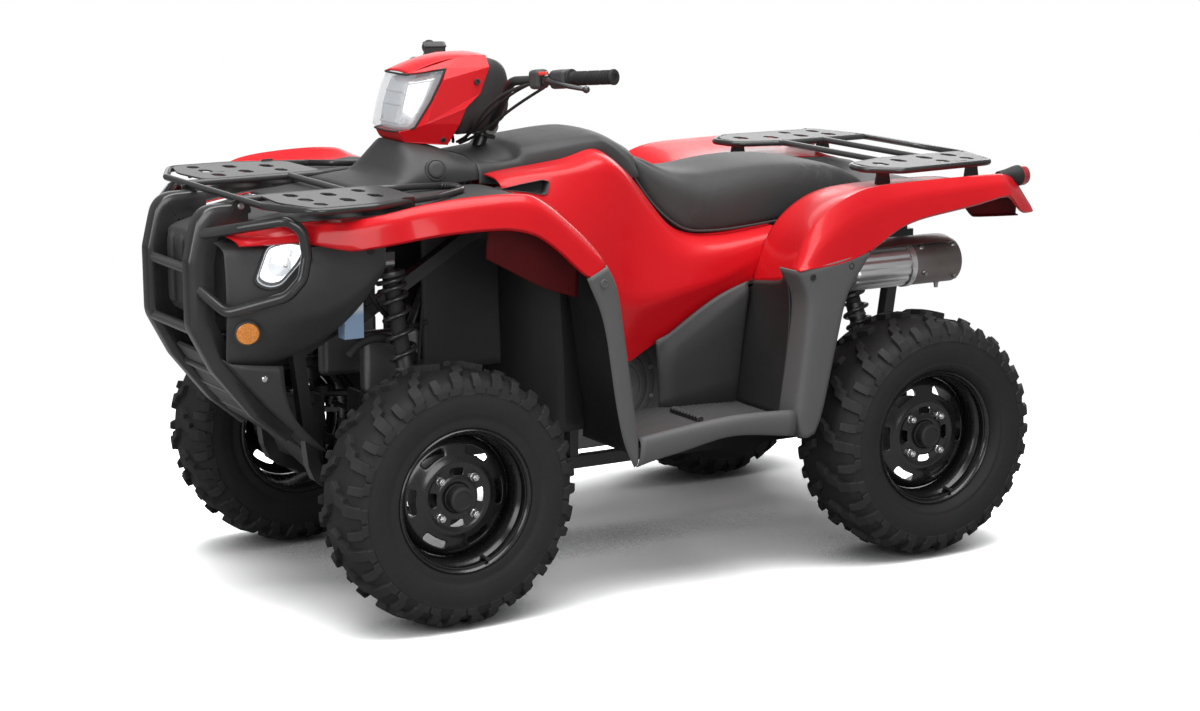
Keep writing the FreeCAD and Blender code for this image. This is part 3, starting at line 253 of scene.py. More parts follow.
# %% Painted and bare metals
def painted_steel(name, dark, pale, roughness, coat):
    """Baked black paint with the faint ripple of powder coat."""
    made = Finish(name, Coat_Roughness=0.12, Specular_IOR_Level=0.5)
    worn = made.edges()
    colour = made.shade(made.noise(9, 3), dark, pale)
    made.set(Base_Color=made.tint(worn * 0.14, colour, grey(0.20)),
             Roughness=roughness + made.noise(70, 4) * 0.12,
             Coat_Weight=coat - worn * coat * 0.5,
             Normal=made.bump(made.noise(420, 2), 0.18, 0.12))
    return made.material


def bare_metal(name, dark, pale, roughness, grain=900, painted_glow=0):
    """Metal that shows the marks of the tool that made it, with an optional painted glow."""
    made = Finish(name, Emission_Strength=painted_glow, Emission_Color=(0.9, 0.95, 1, 1))
    mottle = made.noise(38, 5, 0.6)
    made.set(Base_Color=made.shade(mottle, dark, pale), Metallic=0.75 + mottle * 0.25,
             Roughness=roughness + made.noise(140, 4) * 0.16,
             Normal=made.bump(made.noise(grain, 3), 0.3, 0.08))
    return made.material


TUBE_BLACK = painted_steel("rack_tube_black", grey(0.012), grey(0.021), 0.27, 0.42)
# The plates' black is painted lighter than the tubes': a painted sheen for the sky their flat tops
# reflect.
PLATE_BLACK_PAINTED_SHEEN = painted_steel("rack_plate_painted_sheen", grey(0.036), grey(0.056), 0.40, 0.2)
RIM_BLACK = painted_steel("rim_gloss_black", grey(0.004), grey(0.008), 0.20, 0.35)
FRAME_BLACK = painted_steel("frame_black", grey(0.008), grey(0.016), 0.34, 0.2)
CHROME = bare_metal("nut_chrome", grey(0.55), grey(0.72), 0.10)
CAST = bare_metal("cast_alloy", grey(0.16), grey(0.26), 0.42, 500)
STEEL = bare_metal("bare_steel", grey(0.30), grey(0.46), 0.30)

# %% [markdown]
# ## Rubber
# Tyre rubber is dull and nearly black, greyer on the raised lugs where it has touched the
# ground. The mould leaves a very fine stipple, and the side wall is smoother than the tread.
# Height above the tread isn't known to the shader, so the greyness comes from edges and noise.

# %% Rubber and vinyl
def rubber(name, dark, pale, roughness, stipple=700):
    """Carbon-black rubber with mould stipple and scuffed edges."""
    made = Finish(name, Specular_IOR_Level=0.35)
    scuff = made.edges() * (0.4 + made.noise(55, 4))
    colour = made.shade(made.noise(14, 4), dark, pale)
    made.set(Base_Color=made.tint(scuff * 0.30, colour, grey(0.075)),
             Roughness=roughness + made.noise(90, 4) * 0.18,
             Normal=made.bump(made.noise(stipple, 3) + made.cells(stipple * 0.5) * 0.5, 0.3, 0.25))
    return made.material


TYRE = rubber("tyre_rubber", grey(0.010), grey(0.017), 0.60)
GRIP = rubber("grip_rubber", grey(0.010), grey(0.016), 0.62, 1600)


def seat_vinyl():
    """Matt vinyl with a pebbled grain, polished a little where riders slide."""
    made = Finish("seat_vinyl", Specular_IOR_Level=0.4, Sheen_Weight=0.06)
    rubbed = made.upward() * made.noise(6, 3)
    pebble = made.cells(620) + made.cells(1400) * 0.5
    made.set(Base_Color=made.shade(made.noise(7, 3), grey(0.022), grey(0.034)),
             Roughness=0.60 - rubbed * 0.14 + made.noise(110, 4) * 0.08,
             Normal=made.bump(pebble, 0.4, 0.3))
    return made.material


VINYL = seat_vinyl()

# %% [markdown]
# ## Lenses
# A clear lens is thin plastic over a bright reflector. Real refraction through a closed solid
# needs many light bounces, so the lens is a mostly see-through shell with a sharp gloss, and
# the reflector behind it is modelled. Coloured lenses are the same shell with a tint. The
# reflectors and coloured lenses also carry a faint painted glow in place of the light they send
# back.

# %% Lamp and reflector finishes
def lens_finish(name, colour, clear):
    """Thin moulded lens: gloss on top, see-through below."""
    made = Finish(name, Roughness=0.05, Specular_IOR_Level=0.6, Coat_Weight=0.3)
    haze = made.noise(90, 3)
    made.set(Base_Color=made.shade(haze, tuple(0.85 * part for part in colour), colour),
             Alpha=1 - clear * (0.92 + haze * 0.08))
    return made.material


def ribbed_lens(name, colour, painted_glow):
    """Coloured lens with small prisms, and a painted glow in place of the light they send back."""
    made = Finish(name, Specular_IOR_Level=0.6, Coat_Weight=0.6, Coat_Roughness=0.05)
    prisms = made.cells(260, "F1")
    made.set(Base_Color=made.shade(prisms, tuple(0.55 * part for part in colour), colour),
             Roughness=0.16 + prisms * 0.2,
             Emission_Color=made.shade(prisms, tuple(0.5 * part for part in colour), colour),
             Emission_Strength=painted_glow, Normal=made.bump(prisms, 0.5, 0.8))
    return made.material


CLEAR = lens_finish("clear_lens", (0.80, 0.84, 0.88), 0.86)
# Both reflectors carry a painted glow, strongest in the headlamp, in place of the light they
# reflect.
MIRROR = bare_metal("lamp_reflector", grey(0.80), grey(0.94), 0.10, 120, 0.06)
BRIGHT_MIRROR = bare_metal("headlamp_reflector", grey(0.85), grey(0.98), 0.14, 120, 0.55)
# The amber reflector, tail lens and red button glow faintly; no lamp is lit, so this is painted
# glow.
AMBER = ribbed_lens("amber_reflector", (0.85, 0.28, 0.03), 0.12)
TAIL_RED = ribbed_lens("tail_lens", (0.42, 0.02, 0.03), 0.04)
SIGNAL_RED = ribbed_lens("button_red", (0.80, 0.05, 0.03), 0.10)


def coolant_plastic():
    """Milky tank with the bluish coolant showing through its lower half."""
    made = Finish("coolant_tank", Roughness=0.35, Subsurface_Weight=0.1)
    height = made.node("ShaderNodeSeparateXYZ", None, {0: made.place()}, "Z")
    filled = made.ramp((height - 0.64) * 8, (0.50, 1), (0.60, 0))
    milky = made.shade(made.noise(20, 3), (0.50, 0.56, 0.62), (0.62, 0.68, 0.72))
    made.set(Base_Color=made.tint(filled * 0.75, milky, (0.16, 0.30, 0.50)),
             Normal=made.bump(made.noise(300, 2), 0.2, 0.1))
    return made.material


COOLANT = coolant_plastic()
print("Finishes:", [material.name for material in bpy.data.materials])

# %% [markdown]
# ## Three ways to make a mesh
# Nearly every part here is one of three kinds. A *skin* is a sheet lofted through rows of
# points: fenders, covers and guards. A *turned* part is a profile spun round an axis: rims,
# caps and springs' cups. A *bar* is a tube along a path: racks, levers and cables. All three end
# in the same few lines that name the piece, give it a finish and fasten it to its body.


def fasten(piece, finish, nodes=(), body="chassis"):
    """Give a finished object its material, its body and the CAD nodes it stands for."""
    piece.data.materials.append(finish)
    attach(piece, body)
    if nodes:
        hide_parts(*nodes)
    return piece


def new_object(name, data):
    """Object in the scene that shows the given data."""
    made = bpy.data.objects.new(name, data)
    scene.collection.objects.link(made)
    return made


def soften(piece, sharp=38):
    """Smooth shading that keeps edges sharper than this many degrees."""
    piece.data.shade_smooth()
    piece.data.set_sharp_from_angle(angle=math.radians(sharp))


def weld(shape):
    """Join points that lie on each other."""
    bmesh.ops.remove_doubles(shape, verts=shape.verts, dist=1e-6)


def face_outward(shape):
    bmesh.ops.recalc_face_normals(shape, faces=shape.faces)


def fill_ends(shape):
    bmesh.ops.holes_fill(shape, edges=[edge for edge in shape.edges if edge.is_boundary], sides=0)


def edit_mesh(mesh, *steps):
    """Run editing steps on a mesh, one after another."""
    shape = bmesh.new()
    shape.from_mesh(mesh)
    for step in steps:
        step(shape)
    shape.to_mesh(mesh)
    shape.free()


def grid_faces(rows, columns, closed=True, ring=False):
    """Faces of a grid of points; closed joins each row's ends, ring the last row to the first."""
    faces = []
    for r in range(rows if ring else rows - 1):
        a, b = r * columns, (r + 1) % rows * columns
        for c in range(columns if closed else columns - 1):
            d = (c + 1) % columns
            faces.append((a + c, a + d, b + d, b + c))
    return faces


def mesh_of(name, points, faces):
    """Mesh in metres from points in millimetres."""
    mesh = bpy.data.meshes.new(name)
    mesh.from_pydata([Vector(point) * MM for point in points], [], faces)
    return mesh


def solid_mesh(name, points, faces, sharp=38):
    """Object from points in millimetres and faces, with its normals outward."""
    mesh = mesh_of(name, points, faces)
    edit_mesh(mesh, weld, face_outward)
    made = new_object(name, mesh)
    soften(made, sharp)
    return made


def round_edges(piece, millimetres, segments=2, angle=35):
    """Bevel: no moulded or pressed part has a knife edge."""
    bevel = piece.modifiers.new("edges", "BEVEL")
    bevel.width = millimetres * MM
    bevel.segments = segments
    bevel.limit_method = "ANGLE"
    bevel.angle_limit = math.radians(angle)
    bevel.harden_normals = True
    return piece


def both_sides(piece):
    """The same piece on the right-hand side of the vehicle."""
    mirror = piece.modifiers.new("both_sides", "MIRROR")
    mirror.use_axis = (False, True, False)
    mirror.use_mirror_merge = False
    return piece


# %% Skins
def skin(name, rows, wall=3.5, levels=2, column_creases=None, row_creases=None, closed=False,
         sharp=60):
    """Sheet through rows of points, thickened inward and smoothed but for its creases."""
    columns = len(rows[0])
    mesh = mesh_of(name, [point for row in rows for point in row],
                   grid_faces(len(rows), columns, closed))
    crease = mesh.attributes.new("crease_edge", "FLOAT", "EDGE")
    for edge in mesh.edges:
        a, b = sorted(edge.vertices)
        if a // columns != b // columns:
            value = (column_creases or {}).get(a % columns, 0)
        else:
            value = (row_creases or {}).get(a // columns, 0)
        crease.data[edge.index].value = value
    made = new_object(name, mesh)
    smooth = made.modifiers.new("smooth", "SUBSURF")
    smooth.levels = smooth.render_levels = levels
    smooth.boundary_smooth = "PRESERVE_CORNERS"
    if wall:
        thick = made.modifiers.new("wall", "SOLIDIFY")
        thick.thickness = abs(wall) * MM
        thick.offset = -1 if wall > 0 else 1
    soften(made, sharp)
    return made


# %% Turned parts
def turned(name, profile, origin=(0, 0, 0), axis=(0, 1, 0), sectors=64, closed=False, sharp=30):
    """Profile of (along, radius) spun round an axis through the origin."""
    way = Vector(axis).normalized()
    helper = Vector((0, 0, 1)) if abs(way.z) < 0.9 else Vector((1, 0, 0))
    first = way.cross(helper).normalized()
    second = way.cross(first)
    points = []
    for along, radius in profile:
        for index in range(sectors):
            angle = 2 * math.pi * index / sectors
            points.append(Vector(origin) + way * along
                          + (first * math.cos(angle) + second * math.sin(angle)) * radius)
    return solid_mesh(name, points, grid_faces(len(profile), sectors, ring=closed), sharp)


# %% Bars
def line_through(name, points, smooth=False):
    """Curve with its corners at the points, or one flowing line near them."""
    data = bpy.data.curves.new(name, "CURVE")
    data.dimensions = "3D"
    spline = data.splines.new("NURBS" if smooth else "POLY")
    spline.points.add(len(points) - 1)
    for knot, point in zip(spline.points, points):
        knot.co = (*(Vector(point) * MM), 1)
    if smooth:
        spline.order_u = 4
        spline.use_endpoint_u = True
        spline.resolution_u = 6
    return data


def bend_path(points, bend, steps=6):
    """Path whose corners are arcs, as a tube bender leaves them."""
    points = [Vector(point) for point in points]
    path = [points[0]]
    for before, corner, after in zip(points, points[1:], points[2:]):
        into, out = (before - corner), (after - corner)
        half = into.angle(out) / 2
        reach = min(bend / math.tan(half), into.length * 0.48, out.length * 0.48)
        start, stop = corner + into.normalized() * reach, corner + out.normalized() * reach
        for step in range(steps + 1):
            t = step / steps
            path.append(start * (1 - t) ** 2 + corner * 2 * t * (1 - t) + stop * t ** 2)
    return path + [points[-1]]


def bar(name, points, radius, bend=30, smooth=False, ends=True, steps=6, sides=4):
    """Round tube along a path."""
    path = points if smooth else bend_path(points, bend, steps)
    data = line_through(name, path, smooth)
    data.bevel_depth = radius * MM
    data.bevel_resolution = sides
    data.use_fill_caps = ends
    return new_object(name, data)


# %% Rings, openings and baked shapes
def rounded_outline(corners, radius, steps=4):
    """Flat outline with arcs in place of its corners."""
    count = len(corners)
    outline = []
    for index in range(count):
        before, corner, after = (Vector(corners[index - 1]), Vector(corners[index]),
                                 Vector(corners[(index + 1) % count]))
        into, out = before - corner, after - corner
        reach = min(radius, into.length * 0.45, out.length * 0.45)
        start, stop = corner + into.normalized() * reach, corner + out.normalized() * reach
        for step in range(steps + 1):
            t = step / steps
            outline.append(tuple(start * (1 - t) ** 2 + corner * 2 * t * (1 - t) + stop * t ** 2))
    return outline


def ringed(name, rings, fill=True, sharp=30, fill_first=False):
    """Solid or cup through rings of equal length."""
    count = len(rings[0])
    points = [point for ring in rings for point in ring]
    faces = grid_faces(len(rings), count)
    if fill_first:
        faces.append(tuple(range(count)))
    if fill:
        faces.append(tuple(range((len(rings) - 1) * count, len(rings) * count)))
    return solid_mesh(name, points, faces, sharp)


def bake(piece):
    """Replace a piece's mesh by its shape after modifiers."""
    graph = bpy.context.evaluated_depsgraph_get()
    mesh = bpy.data.meshes.new_from_object(piece.evaluated_get(graph))
    piece.modifiers.clear()
    piece.data = mesh
    return piece


def cut_opening(piece, tool):
    """Cut the tool's volume out of a piece and throw the tool away."""
    opening = piece.modifiers.new("opening", "BOOLEAN")
    opening.object, opening.solver = tool, "EXACT"
    bake(piece)
    bpy.data.objects.remove(tool)
    soften(piece, 50)


print("Helpers ready")

# %% [markdown]
# ## Floor and light
# A catalogue picture has a white ground with a soft shadow under the object. The floor is pale,
# and its own faint glow is seen only by the camera and through clear lenses, so it reads as
# white without more light on the vehicle. Close under the vehicle an occlusion mask darkens it
# further, a painted contact shadow. Five large soft lights stand in for the studio: one
# overhead, one beside the camera, one in front, one behind for the top edges and a wide one
# where a back wall would be.

# %% Floor
def pale_floor():
    """Pale floor, white to the camera where no shadow falls, with a painted contact shadow."""
    made = Finish("pale_floor", Roughness=0.85, Specular_IOR_Level=0.1)
    camera_ray = made.node("ShaderNodeLightPath", output="Is Camera Ray")
    glass_ray = made.node("ShaderNodeLightPath", output="Is Transmission Ray")
    grain = made.noise(3, 4)
    made.set(Base_Color=made.shade(grain, grey(0.30), grey(0.32)))
    away = made.node("ShaderNodeVectorMath", {"operation": "LENGTH"}, {0: made.place()}, "Value")
    far = made.ramp(away * 0.1, (0.10, 0), (0.24, 1))
    # Under the vehicle an occlusion mask turns the floor to a dark diffuse: a painted contact
    # shadow.
    open_sky = made.node("ShaderNodeAmbientOcclusion", {"samples": 8}, {"Distance": 0.75}, "AO")
    painted_shadow_floor = made.node("ShaderNodeBsdfDiffuse", None, {"Color": (0.20, 0.20, 0.20, 1)})
    paper = made.node("ShaderNodeBsdfDiffuse", None, {"Color": (2.9, 2.9, 2.9, 1)})
    painted_contact_shadow = made.node("ShaderNodeMixShader", None,
                        {0: made.ramp(open_sky, (0.12, 0), (0.95, 1)), 1: painted_shadow_floor, 2: paper})
    fade = made.node("ShaderNodeMixShader", None,
                     {0: far, 1: painted_contact_shadow, 2: made.node("ShaderNodeEmission")})
    both = made.node("ShaderNodeMixShader", None,
                     {0: camera_ray.maths("MAXIMUM", camera_ray, glass_ray),
                      1: Field(made, made.shader.outputs[0]), 2: fade})
    made.feed(made.tree.nodes["Material Output"].inputs["Surface"], both)
    return made.material


REACH = 40000
floor = solid_mesh("studio_floor", [(-REACH, -REACH, 0), (REACH, -REACH, 0), (REACH, REACH, 0),
                                    (-REACH, REACH, 0)], [(0, 1, 2, 3)])
floor.data.materials.append(pale_floor())

# %% Backdrop light and lamps
world = bpy.data.worlds.new("studio")
scene.world = world
world.use_nodes = True
nodes, links = world.node_tree.nodes, world.node_tree.links
rays = nodes.new("ShaderNodeLightPath")
plain = nodes["Background"]
plain.inputs["Color"].default_value = (0.80, 0.81, 0.83, 1)
plain.inputs["Strength"].default_value = 0.36
white = nodes.new("ShaderNodeBackground")
white.inputs["Color"].default_value = (1, 1, 1, 1)
white.inputs["Strength"].default_value = 1
camera_or_glass = nodes.new("ShaderNodeMath")
camera_or_glass.operation = "MAXIMUM"
links.new(rays.outputs["Is Camera Ray"], camera_or_glass.inputs[0])
links.new(rays.outputs["Is Transmission Ray"], camera_or_glass.inputs[1])
choose = nodes.new("ShaderNodeMixShader")
links.new(camera_or_glass.outputs[0], choose.inputs[0])
links.new(plain.outputs[0], choose.inputs[1])
links.new(white.outputs[0], choose.inputs[2])
links.new(choose.outputs[0], nodes["World Output"].inputs["Surface"])


def softbox(name, place, target, width, height, watts):
    """Large rectangular light aimed at a point."""
    data = bpy.data.lights.new(name, "AREA")
    data.shape = "RECTANGLE"
    data.size, data.size_y, data.energy = width, height, watts
    lamp = bpy.data.objects.new(name, data)
    lamp.location = place
    aim = Vector(target) - Vector(place)
    lamp.rotation_euler = aim.to_track_quat("-Z", "Y").to_euler()
    scene.collection.objects.link(lamp)
    return lamp


softbox("overhead", (0.2, 0.6, 4.4), (0, 0, 0.4), 5.0, 4.0, 290)
softbox("beside_camera", (1.2, 5.0, 2.0), (0, 0, 0.6), 3.2, 2.2, 92)
softbox("front", (5.0, 1.2, 2.0), (0.6, 0, 0.6), 2.4, 2.4, 70)
softbox("behind", (-3.6, -3.2, 3.0), (-0.4, 0, 0.9), 3.0, 2.0, 50)
softbox("back_wall", (-3.9, -6.8, 2.3), (0, 0, 0.9), 8.0, 2.6, 72)

# %% [markdown]
# ## Finishes for parts that keep their CAD shape
# Frame tubes, arms, drives and brackets already have the right form, so they keep their mesh.
# They get a real finish and a small bevel, which catches light along every edge.

# %% Dressing the kept parts
KEPT = {
    "main_frame": FRAME_BLACK, "front_arms": FRAME_BLACK, "rear_arms": FRAME_BLACK,
    "knuckle_left": CAST, "knuckle_right": CAST, "rear_knuckles": CAST, "half_shafts": GRIP,
    "final_drives": CAST, "engine": CAST, "steering_stem": FRAME_BLACK,
    "tie_rod_left": FRAME_BLACK, "tie_rod_right": FRAME_BLACK, "skid_plate": DARK,
    "coolant_tank": COOLANT,
}


def dress(node, finish, edge):
    """Material and rounded edges on a CAD node."""
    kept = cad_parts[node]
    for place in kept.material_slots:
        place.material = finish
    if not kept.material_slots:
        kept.data.materials.append(finish)
    round_edges(kept, edge)


for node, finish in KEPT.items():
    dress(node, finish, 5.0 if node == "coolant_tank" else 1.6)
print("Kept parts:", len(KEPT))

# %% [markdown]
# ## Tyres
# An off-road tyre has thick lugs in pairs of slanted bars, left and right half a pitch apart,
# which run over the shoulder and end on the side wall in short hooks. The carcass is a turned
# part. Each lug is a strip whose two edges are given at stations across the tread: its base
# lies just under the carcass and its top is lifted along the carcass's normal.

# %% Tyre profile
PITCHES = 17
LUG_RADIUS = 288
SIZES = {"front": {"y": 446, "x": 577.5, "half": 99, "bead": 87.7, "edge": 92},
         "rear": {"y": 483, "x": -717.5, "half": 119, "bead": 89.7, "edge": 94}}
AXLE_Z = 305


def flank(half, bead):
    """Carcass from the middle of the tread over the shoulder to the bead."""
    return [(0, 291), (half * 0.30, 290), (half * 0.58, 286), (half * 0.78, 277.5),
            (half * 0.90, 264.5), (half * 0.958, 250), (half * 0.972, 248), (half * 0.968, 246),
            (half * 0.985, 226), (half * 0.965, 205), (half * 0.93, 193), (half * 0.925, 187),
            ((half + bead) / 2 - 2, 178), (bead + 2.5, 171.5), (bead - 1, 169), (bead - 3, 160),
            (bead - 6, 156)]


def flowing(profile, steps=4):
    """Catmull-Rom line through a profile."""
    ends = [profile[0]] + profile + [profile[-1]]
    line = []
    for a, b, c, d in zip(ends, ends[1:], ends[2:], ends[3:]):
        for step in range(steps):
            t = step / steps
            line.append(tuple(0.5 * (2 * q + (r - p) * t + (2 * p - 5 * q + 4 * r - s) * t * t
                                     + (3 * q - p - 3 * r + s) * t ** 3)
                              for p, q, r, s in zip(a, b, c, d)))
    return line + [profile[-1]]


class Tread:
    """Place and outward direction on a carcass, by distance from its middle."""

    def __init__(self, line):
        self.line = line
        self.reach = [0]
        for (y0, r0), (y1, r1) in zip(line, line[1:]):
            self.reach.append(self.reach[-1] + math.hypot(y1 - y0, r1 - r0))

    def at(self, across):
        across = min(max(across, 0), self.reach[-1] - 1e-6)
        index = max(i for i, reach in enumerate(self.reach[:-1]) if reach <= across)
        (y0, r0), (y1, r1) = self.line[index], self.line[index + 1]
        span = self.reach[index + 1] - self.reach[index]
        t = (across - self.reach[index]) / span
        return (y0 + (y1 - y0) * t, r0 + (r1 - r0) * t), (-(r1 - r0) / span, (y1 - y0) / span)


# %% Lugs
LONG_LUG = [(5, -30, 11, 14), (30, -16, 12, 14), (33, -5, 13, 14), (58, 2, 13.5, 13.5),
            (62, 14, 14, 13), (84, 17, 15, 10), (97, 19, 15, 6.5), (99, 27, 19, 6),
            (113, 28, 19, 2)]
SHORT_LUG = [(68, -34, 10, 12.5), (84, -33, 12, 10), (97, -34, 13, 6.5), (99, -41, 16, 6),
             (113, -42, 16, 2)]


def lug(tread, stations, side, turn, scale, points, faces):
    """Add one lug's strip to a mesh. Stations are (across, ahead, half width, height)."""
    first = len(points)
    for across, ahead, half, height in stations:
        (y, r), (ny, nr) = tread.at(across * scale)
        for lift, spread in ((-2, 1.12), (height, 0.88)):
            for sign in (-1, 1):
                radius = r + nr * lift
                angle = turn + (ahead + sign * half * spread) / LUG_RADIUS
                points.append((radius * math.sin(angle), side * (y + ny * lift),
                               radius * math.cos(angle)))
    for index in range(len(stations) - 1):
        a, b = first + index * 4, first + index * 4 + 4
        faces += [(a + 2, a + 3, b + 3, b + 2), (a, a + 2, b + 2, b), (a + 3, a + 1, b + 1, b + 3)]
    last = first + (len(stations) - 1) * 4
    faces += [(first, first + 1, first + 3, first + 2), (last, last + 2, last + 3, last + 1)]


def tyre(place, axle, side):
    """Carcass and lugs of one tyre, centred on its axle."""
    size = SIZES[axle]
    half_line = flowing(flank(size["half"], size["bead"]))
    tread = Tread(half_line)
    points, faces = [], []
    for index in range(PITCHES):
        for hand, offset in ((1, 0), (-1, 0.5)):
            turn = 2 * math.pi * (index + offset) / PITCHES
            lug(tread, LONG_LUG, hand, turn, size["half"] / 99, points, faces)
            lug(tread, SHORT_LUG, hand, turn, size["half"] / 99, points, faces)
    lugs = solid_mesh("lugs_" + place, points, faces, 30)
    round_edges(lugs, 1.6, 2, 28)
    profile = [(-y, r) for y, r in half_line[::-1]] + half_line[1:]
    carcass = turned("carcass_" + place, profile, sectors=96, sharp=50)
    for part in (carcass, lugs):
        part.data.transform(Matrix.Translation(Vector((size["x"], side * size["y"], AXLE_Z)) * MM))
    fasten(carcass, TYRE, ("tyre_" + place,), body="wheel_" + place)
    fasten(lugs, TYRE, body="wheel_" + place)


for axle in ("front", "rear"):
    for hand, side in HANDS:
        tyre(axle + "_" + hand, axle, side)
print("Lugs on each tyre:", PITCHES * 4)

# %% [markdown]
# ## Rims
# The wheel is pressed from steel sheet: a deep barrel with a rolled flange, and a disc with six
# oval slots, a flat for the four nuts and windows between them. The barrel is turned. The disc
# starts as rings of quads with cells left out for the openings; thickness and one level of
# subdivision round those openings as a press does.

# %% Barrel and disc
DISC_RINGS = [(33, 7), (46, 7), (50, 5), (53, 4), (60, 3.5), (69, 3), (72, 3), (79, 6), (84, 6.5),
              (92, 2), (100, 0), (104, -1), (113, -3), (122, -5), (126, -7), (134, -12),
              (143, -22)]
DISC_SECTORS = 72


def disc_open(ring, sector):
    """True for the cells of the hub windows and the six slots."""
    radius = (DISC_RINGS[ring][0] + DISC_RINGS[ring + 1][0]) / 2
    if 53 < radius < 69:
        return abs((sector + 0.5) % 18 - 9) > 6.1
    if 104 < radius < 122:
        return abs((sector + 0.5 - 6) % 12 - 6) > 2.9
    return False


def rim(place, axle, side):
    """Barrel, disc, cap, nuts and valve of one wheel."""
    size = SIZES[axle]
    edge = size["edge"]
    face = edge - 47
    body = "wheel_" + place
    origin = Vector((size["x"], side * size["y"], AXLE_Z)) * MM
    outline = [(edge - 1.5, 166.5), (edge, 165), (edge - 2, 162.5), (edge - 9, 157.5),
               (edge - 22, 156), (edge - 29, 156.5), (edge - 35, 152), (edge - 42, 146.5),
               (edge - 60, 143.5), (edge - 100, 143.5), (14 - edge, 151), (2 - edge, 158),
               (-edge, 164), (-edge + 1, 167), (-edge + 3.4, 168.3), (-edge + 4, 160),
               (22 - edge, 155), (edge - 100, 147.5), (edge - 60, 147.5), (edge - 40, 151),
               (edge - 33, 156), (edge - 12, 160.5), (edge - 5.5, 163), (edge - 4, 168.3)]
    barrel = turned("rim_barrel_" + place, [(side * y, r) for y, r in outline], sectors=96,
                    closed=True, sharp=32)
    points = []
    for radius, lift in DISC_RINGS:
        for sector in range(DISC_SECTORS):
            angle = 2 * math.pi * sector / DISC_SECTORS
            points.append((radius * math.sin(angle), side * (face + lift - 7),
                           radius * math.cos(angle)))
    faces = [face for face in grid_faces(len(DISC_RINGS), DISC_SECTORS)
             if not disc_open(*divmod(face[0], DISC_SECTORS))]
    disc = solid_mesh("rim_disc_" + place, points, faces, 50)
    thick = disc.modifiers.new("sheet", "SOLIDIFY")
    thick.thickness, thick.offset = 3.6 * MM, 0
    smooth = disc.modifiers.new("pressed", "SUBSURF")
    smooth.levels = smooth.render_levels = 1
    cap = turned("hub_cap_" + place, [(side * y, r) for y, r in (
        (-8, 33), (face + 2, 33), (face + 3, 30.5), (face + 22, 30), (face + 26, 28.5),
        (face + 28, 25), (face + 28.5, 21), (face + 27.2, 20), (face + 27.5, 12),
        (face + 27.8, 0.1))], sectors=48)
    made = [(barrel, RIM_BLACK, ("rim_" + place,)), (disc, RIM_BLACK, ()), (cap, WELL, ())]
    for quarter in range(4):
        angle = math.pi / 4 + math.pi / 2 * quarter
        seat = (61 * math.sin(angle), side * (face - 2), 61 * math.cos(angle))
        washer = turned("nut_washer_%s_%d" % (place, quarter),
                        [(0, 0.1), (0, 10.5), (side * 3, 10.5), (side * 4.2, 9.4),
                         (side * 4.2, 0.1)], seat, sectors=24)
        nut = turned("wheel_nut_%s_%d" % (place, quarter),
                     [(side * 4, 0.1), (side * 4, 9.6), (side * 13, 9.6), (side * 15.5, 7.8),
                      (side * 15.5, 5.2), (side * 19, 4.9), (side * 19.6, 3.6),
                      (side * 19.6, 0.1)], seat, sectors=6, sharp=20)
        round_edges(nut, 0.6, 1, 20)
        made += [(washer, CHROME, ()), (nut, CHROME, ())]
    low = math.radians(200)
    stem = Vector((150 * math.sin(low), side * (edge - 30), 150 * math.cos(low)))
    valve = turned("valve_" + place, [(0, 0.1), (0, 5.5), (10, 4.2), (24, 3.4), (24, 4.4),
                                      (31, 4.4), (32, 0.1)], stem, (0, side, 0), 16)
    made.append((valve, GRIP, ()))
    for part, finish, nodes in made:
        part.data.transform(Matrix.Translation(origin))
        fasten(part, finish, nodes, body=body)


for axle in ("front", "rear"):
    for hand, side in HANDS:
        rim(axle + "_" + hand, axle, side)
print("Openings in each disc: 6 slots and 4 windows")

# %% [markdown]
# ## Painted panels
# Fenders are injection-moulded sheets about 3.5 mm thick. Each is a skin through cross rows
# from nose to tail, and every row runs from the seam at the middle out to the lip. A crease
# weight of 1 keeps an edge sharp under subdivision and a lower weight rounds it, which is how
# the soft shoulder and the crisp lip come from the same few points.

# %% Front fenders
def across(x, *pairs):
    """Row of points that lie at one place along the vehicle."""
    return [(x, y, z) for y, z in pairs]


FRONT_FENDER_ROWS = [
    [(1000, 151, 905), (1002, 190, 905), (1001, 225, 902), (998, 246, 896), (996, 256, 888),
     (995, 257, 888), (994, 250, 885)],
    across(930, (151, 928), (205, 926), (252, 920), (280, 914), (298, 905), (301, 893),
           (294, 889)),
    across(871, (151, 938), (230, 936), (280, 932), (300, 928), (316, 918), (330, 899),
           (322, 894)),
    across(800, (151, 946), (280, 946), (370, 944), (404, 944), (426, 930), (437, 886),
           (428, 881)),
    across(735, (151, 950), (300, 950), (420, 952), (472, 966), (494, 954), (505, 904),
           (496, 898)),
    across(675, (151, 954), (320, 955), (446, 960), (504, 986), (526, 973), (544, 921),
           (534, 914)),
    across(585, (151, 960), (320, 960), (446, 964), (506, 994), (528, 980), (545, 926),
           (535, 919)),
    across(501, (151, 964), (320, 964), (446, 968), (507, 997), (529, 982), (545, 926),
           (535, 919)),
    across(440, (151, 968), (320, 967), (446, 970), (508, 996), (530, 980), (545, 922),
           (535, 915)),
    across(386, (151, 966), (320, 964), (446, 974), (508, 990), (531, 968), (546, 902),
           (536, 896)),
    across(332, (154, 968), (300, 964), (440, 968), (508, 956), (532, 930), (547, 862),
           (537, 857)),
    across(290, (205, 954), (330, 944), (440, 934), (508, 918), (533, 890), (548, 818),
           (538, 814)),
    across(246, (236, 940), (350, 914), (440, 896), (508, 880), (534, 850), (549, 782),
           (539, 777)),
    across(206, (284, 926), (370, 884), (440, 856), (509, 834), (532, 818), (540, 800),
           (534, 797)),
]


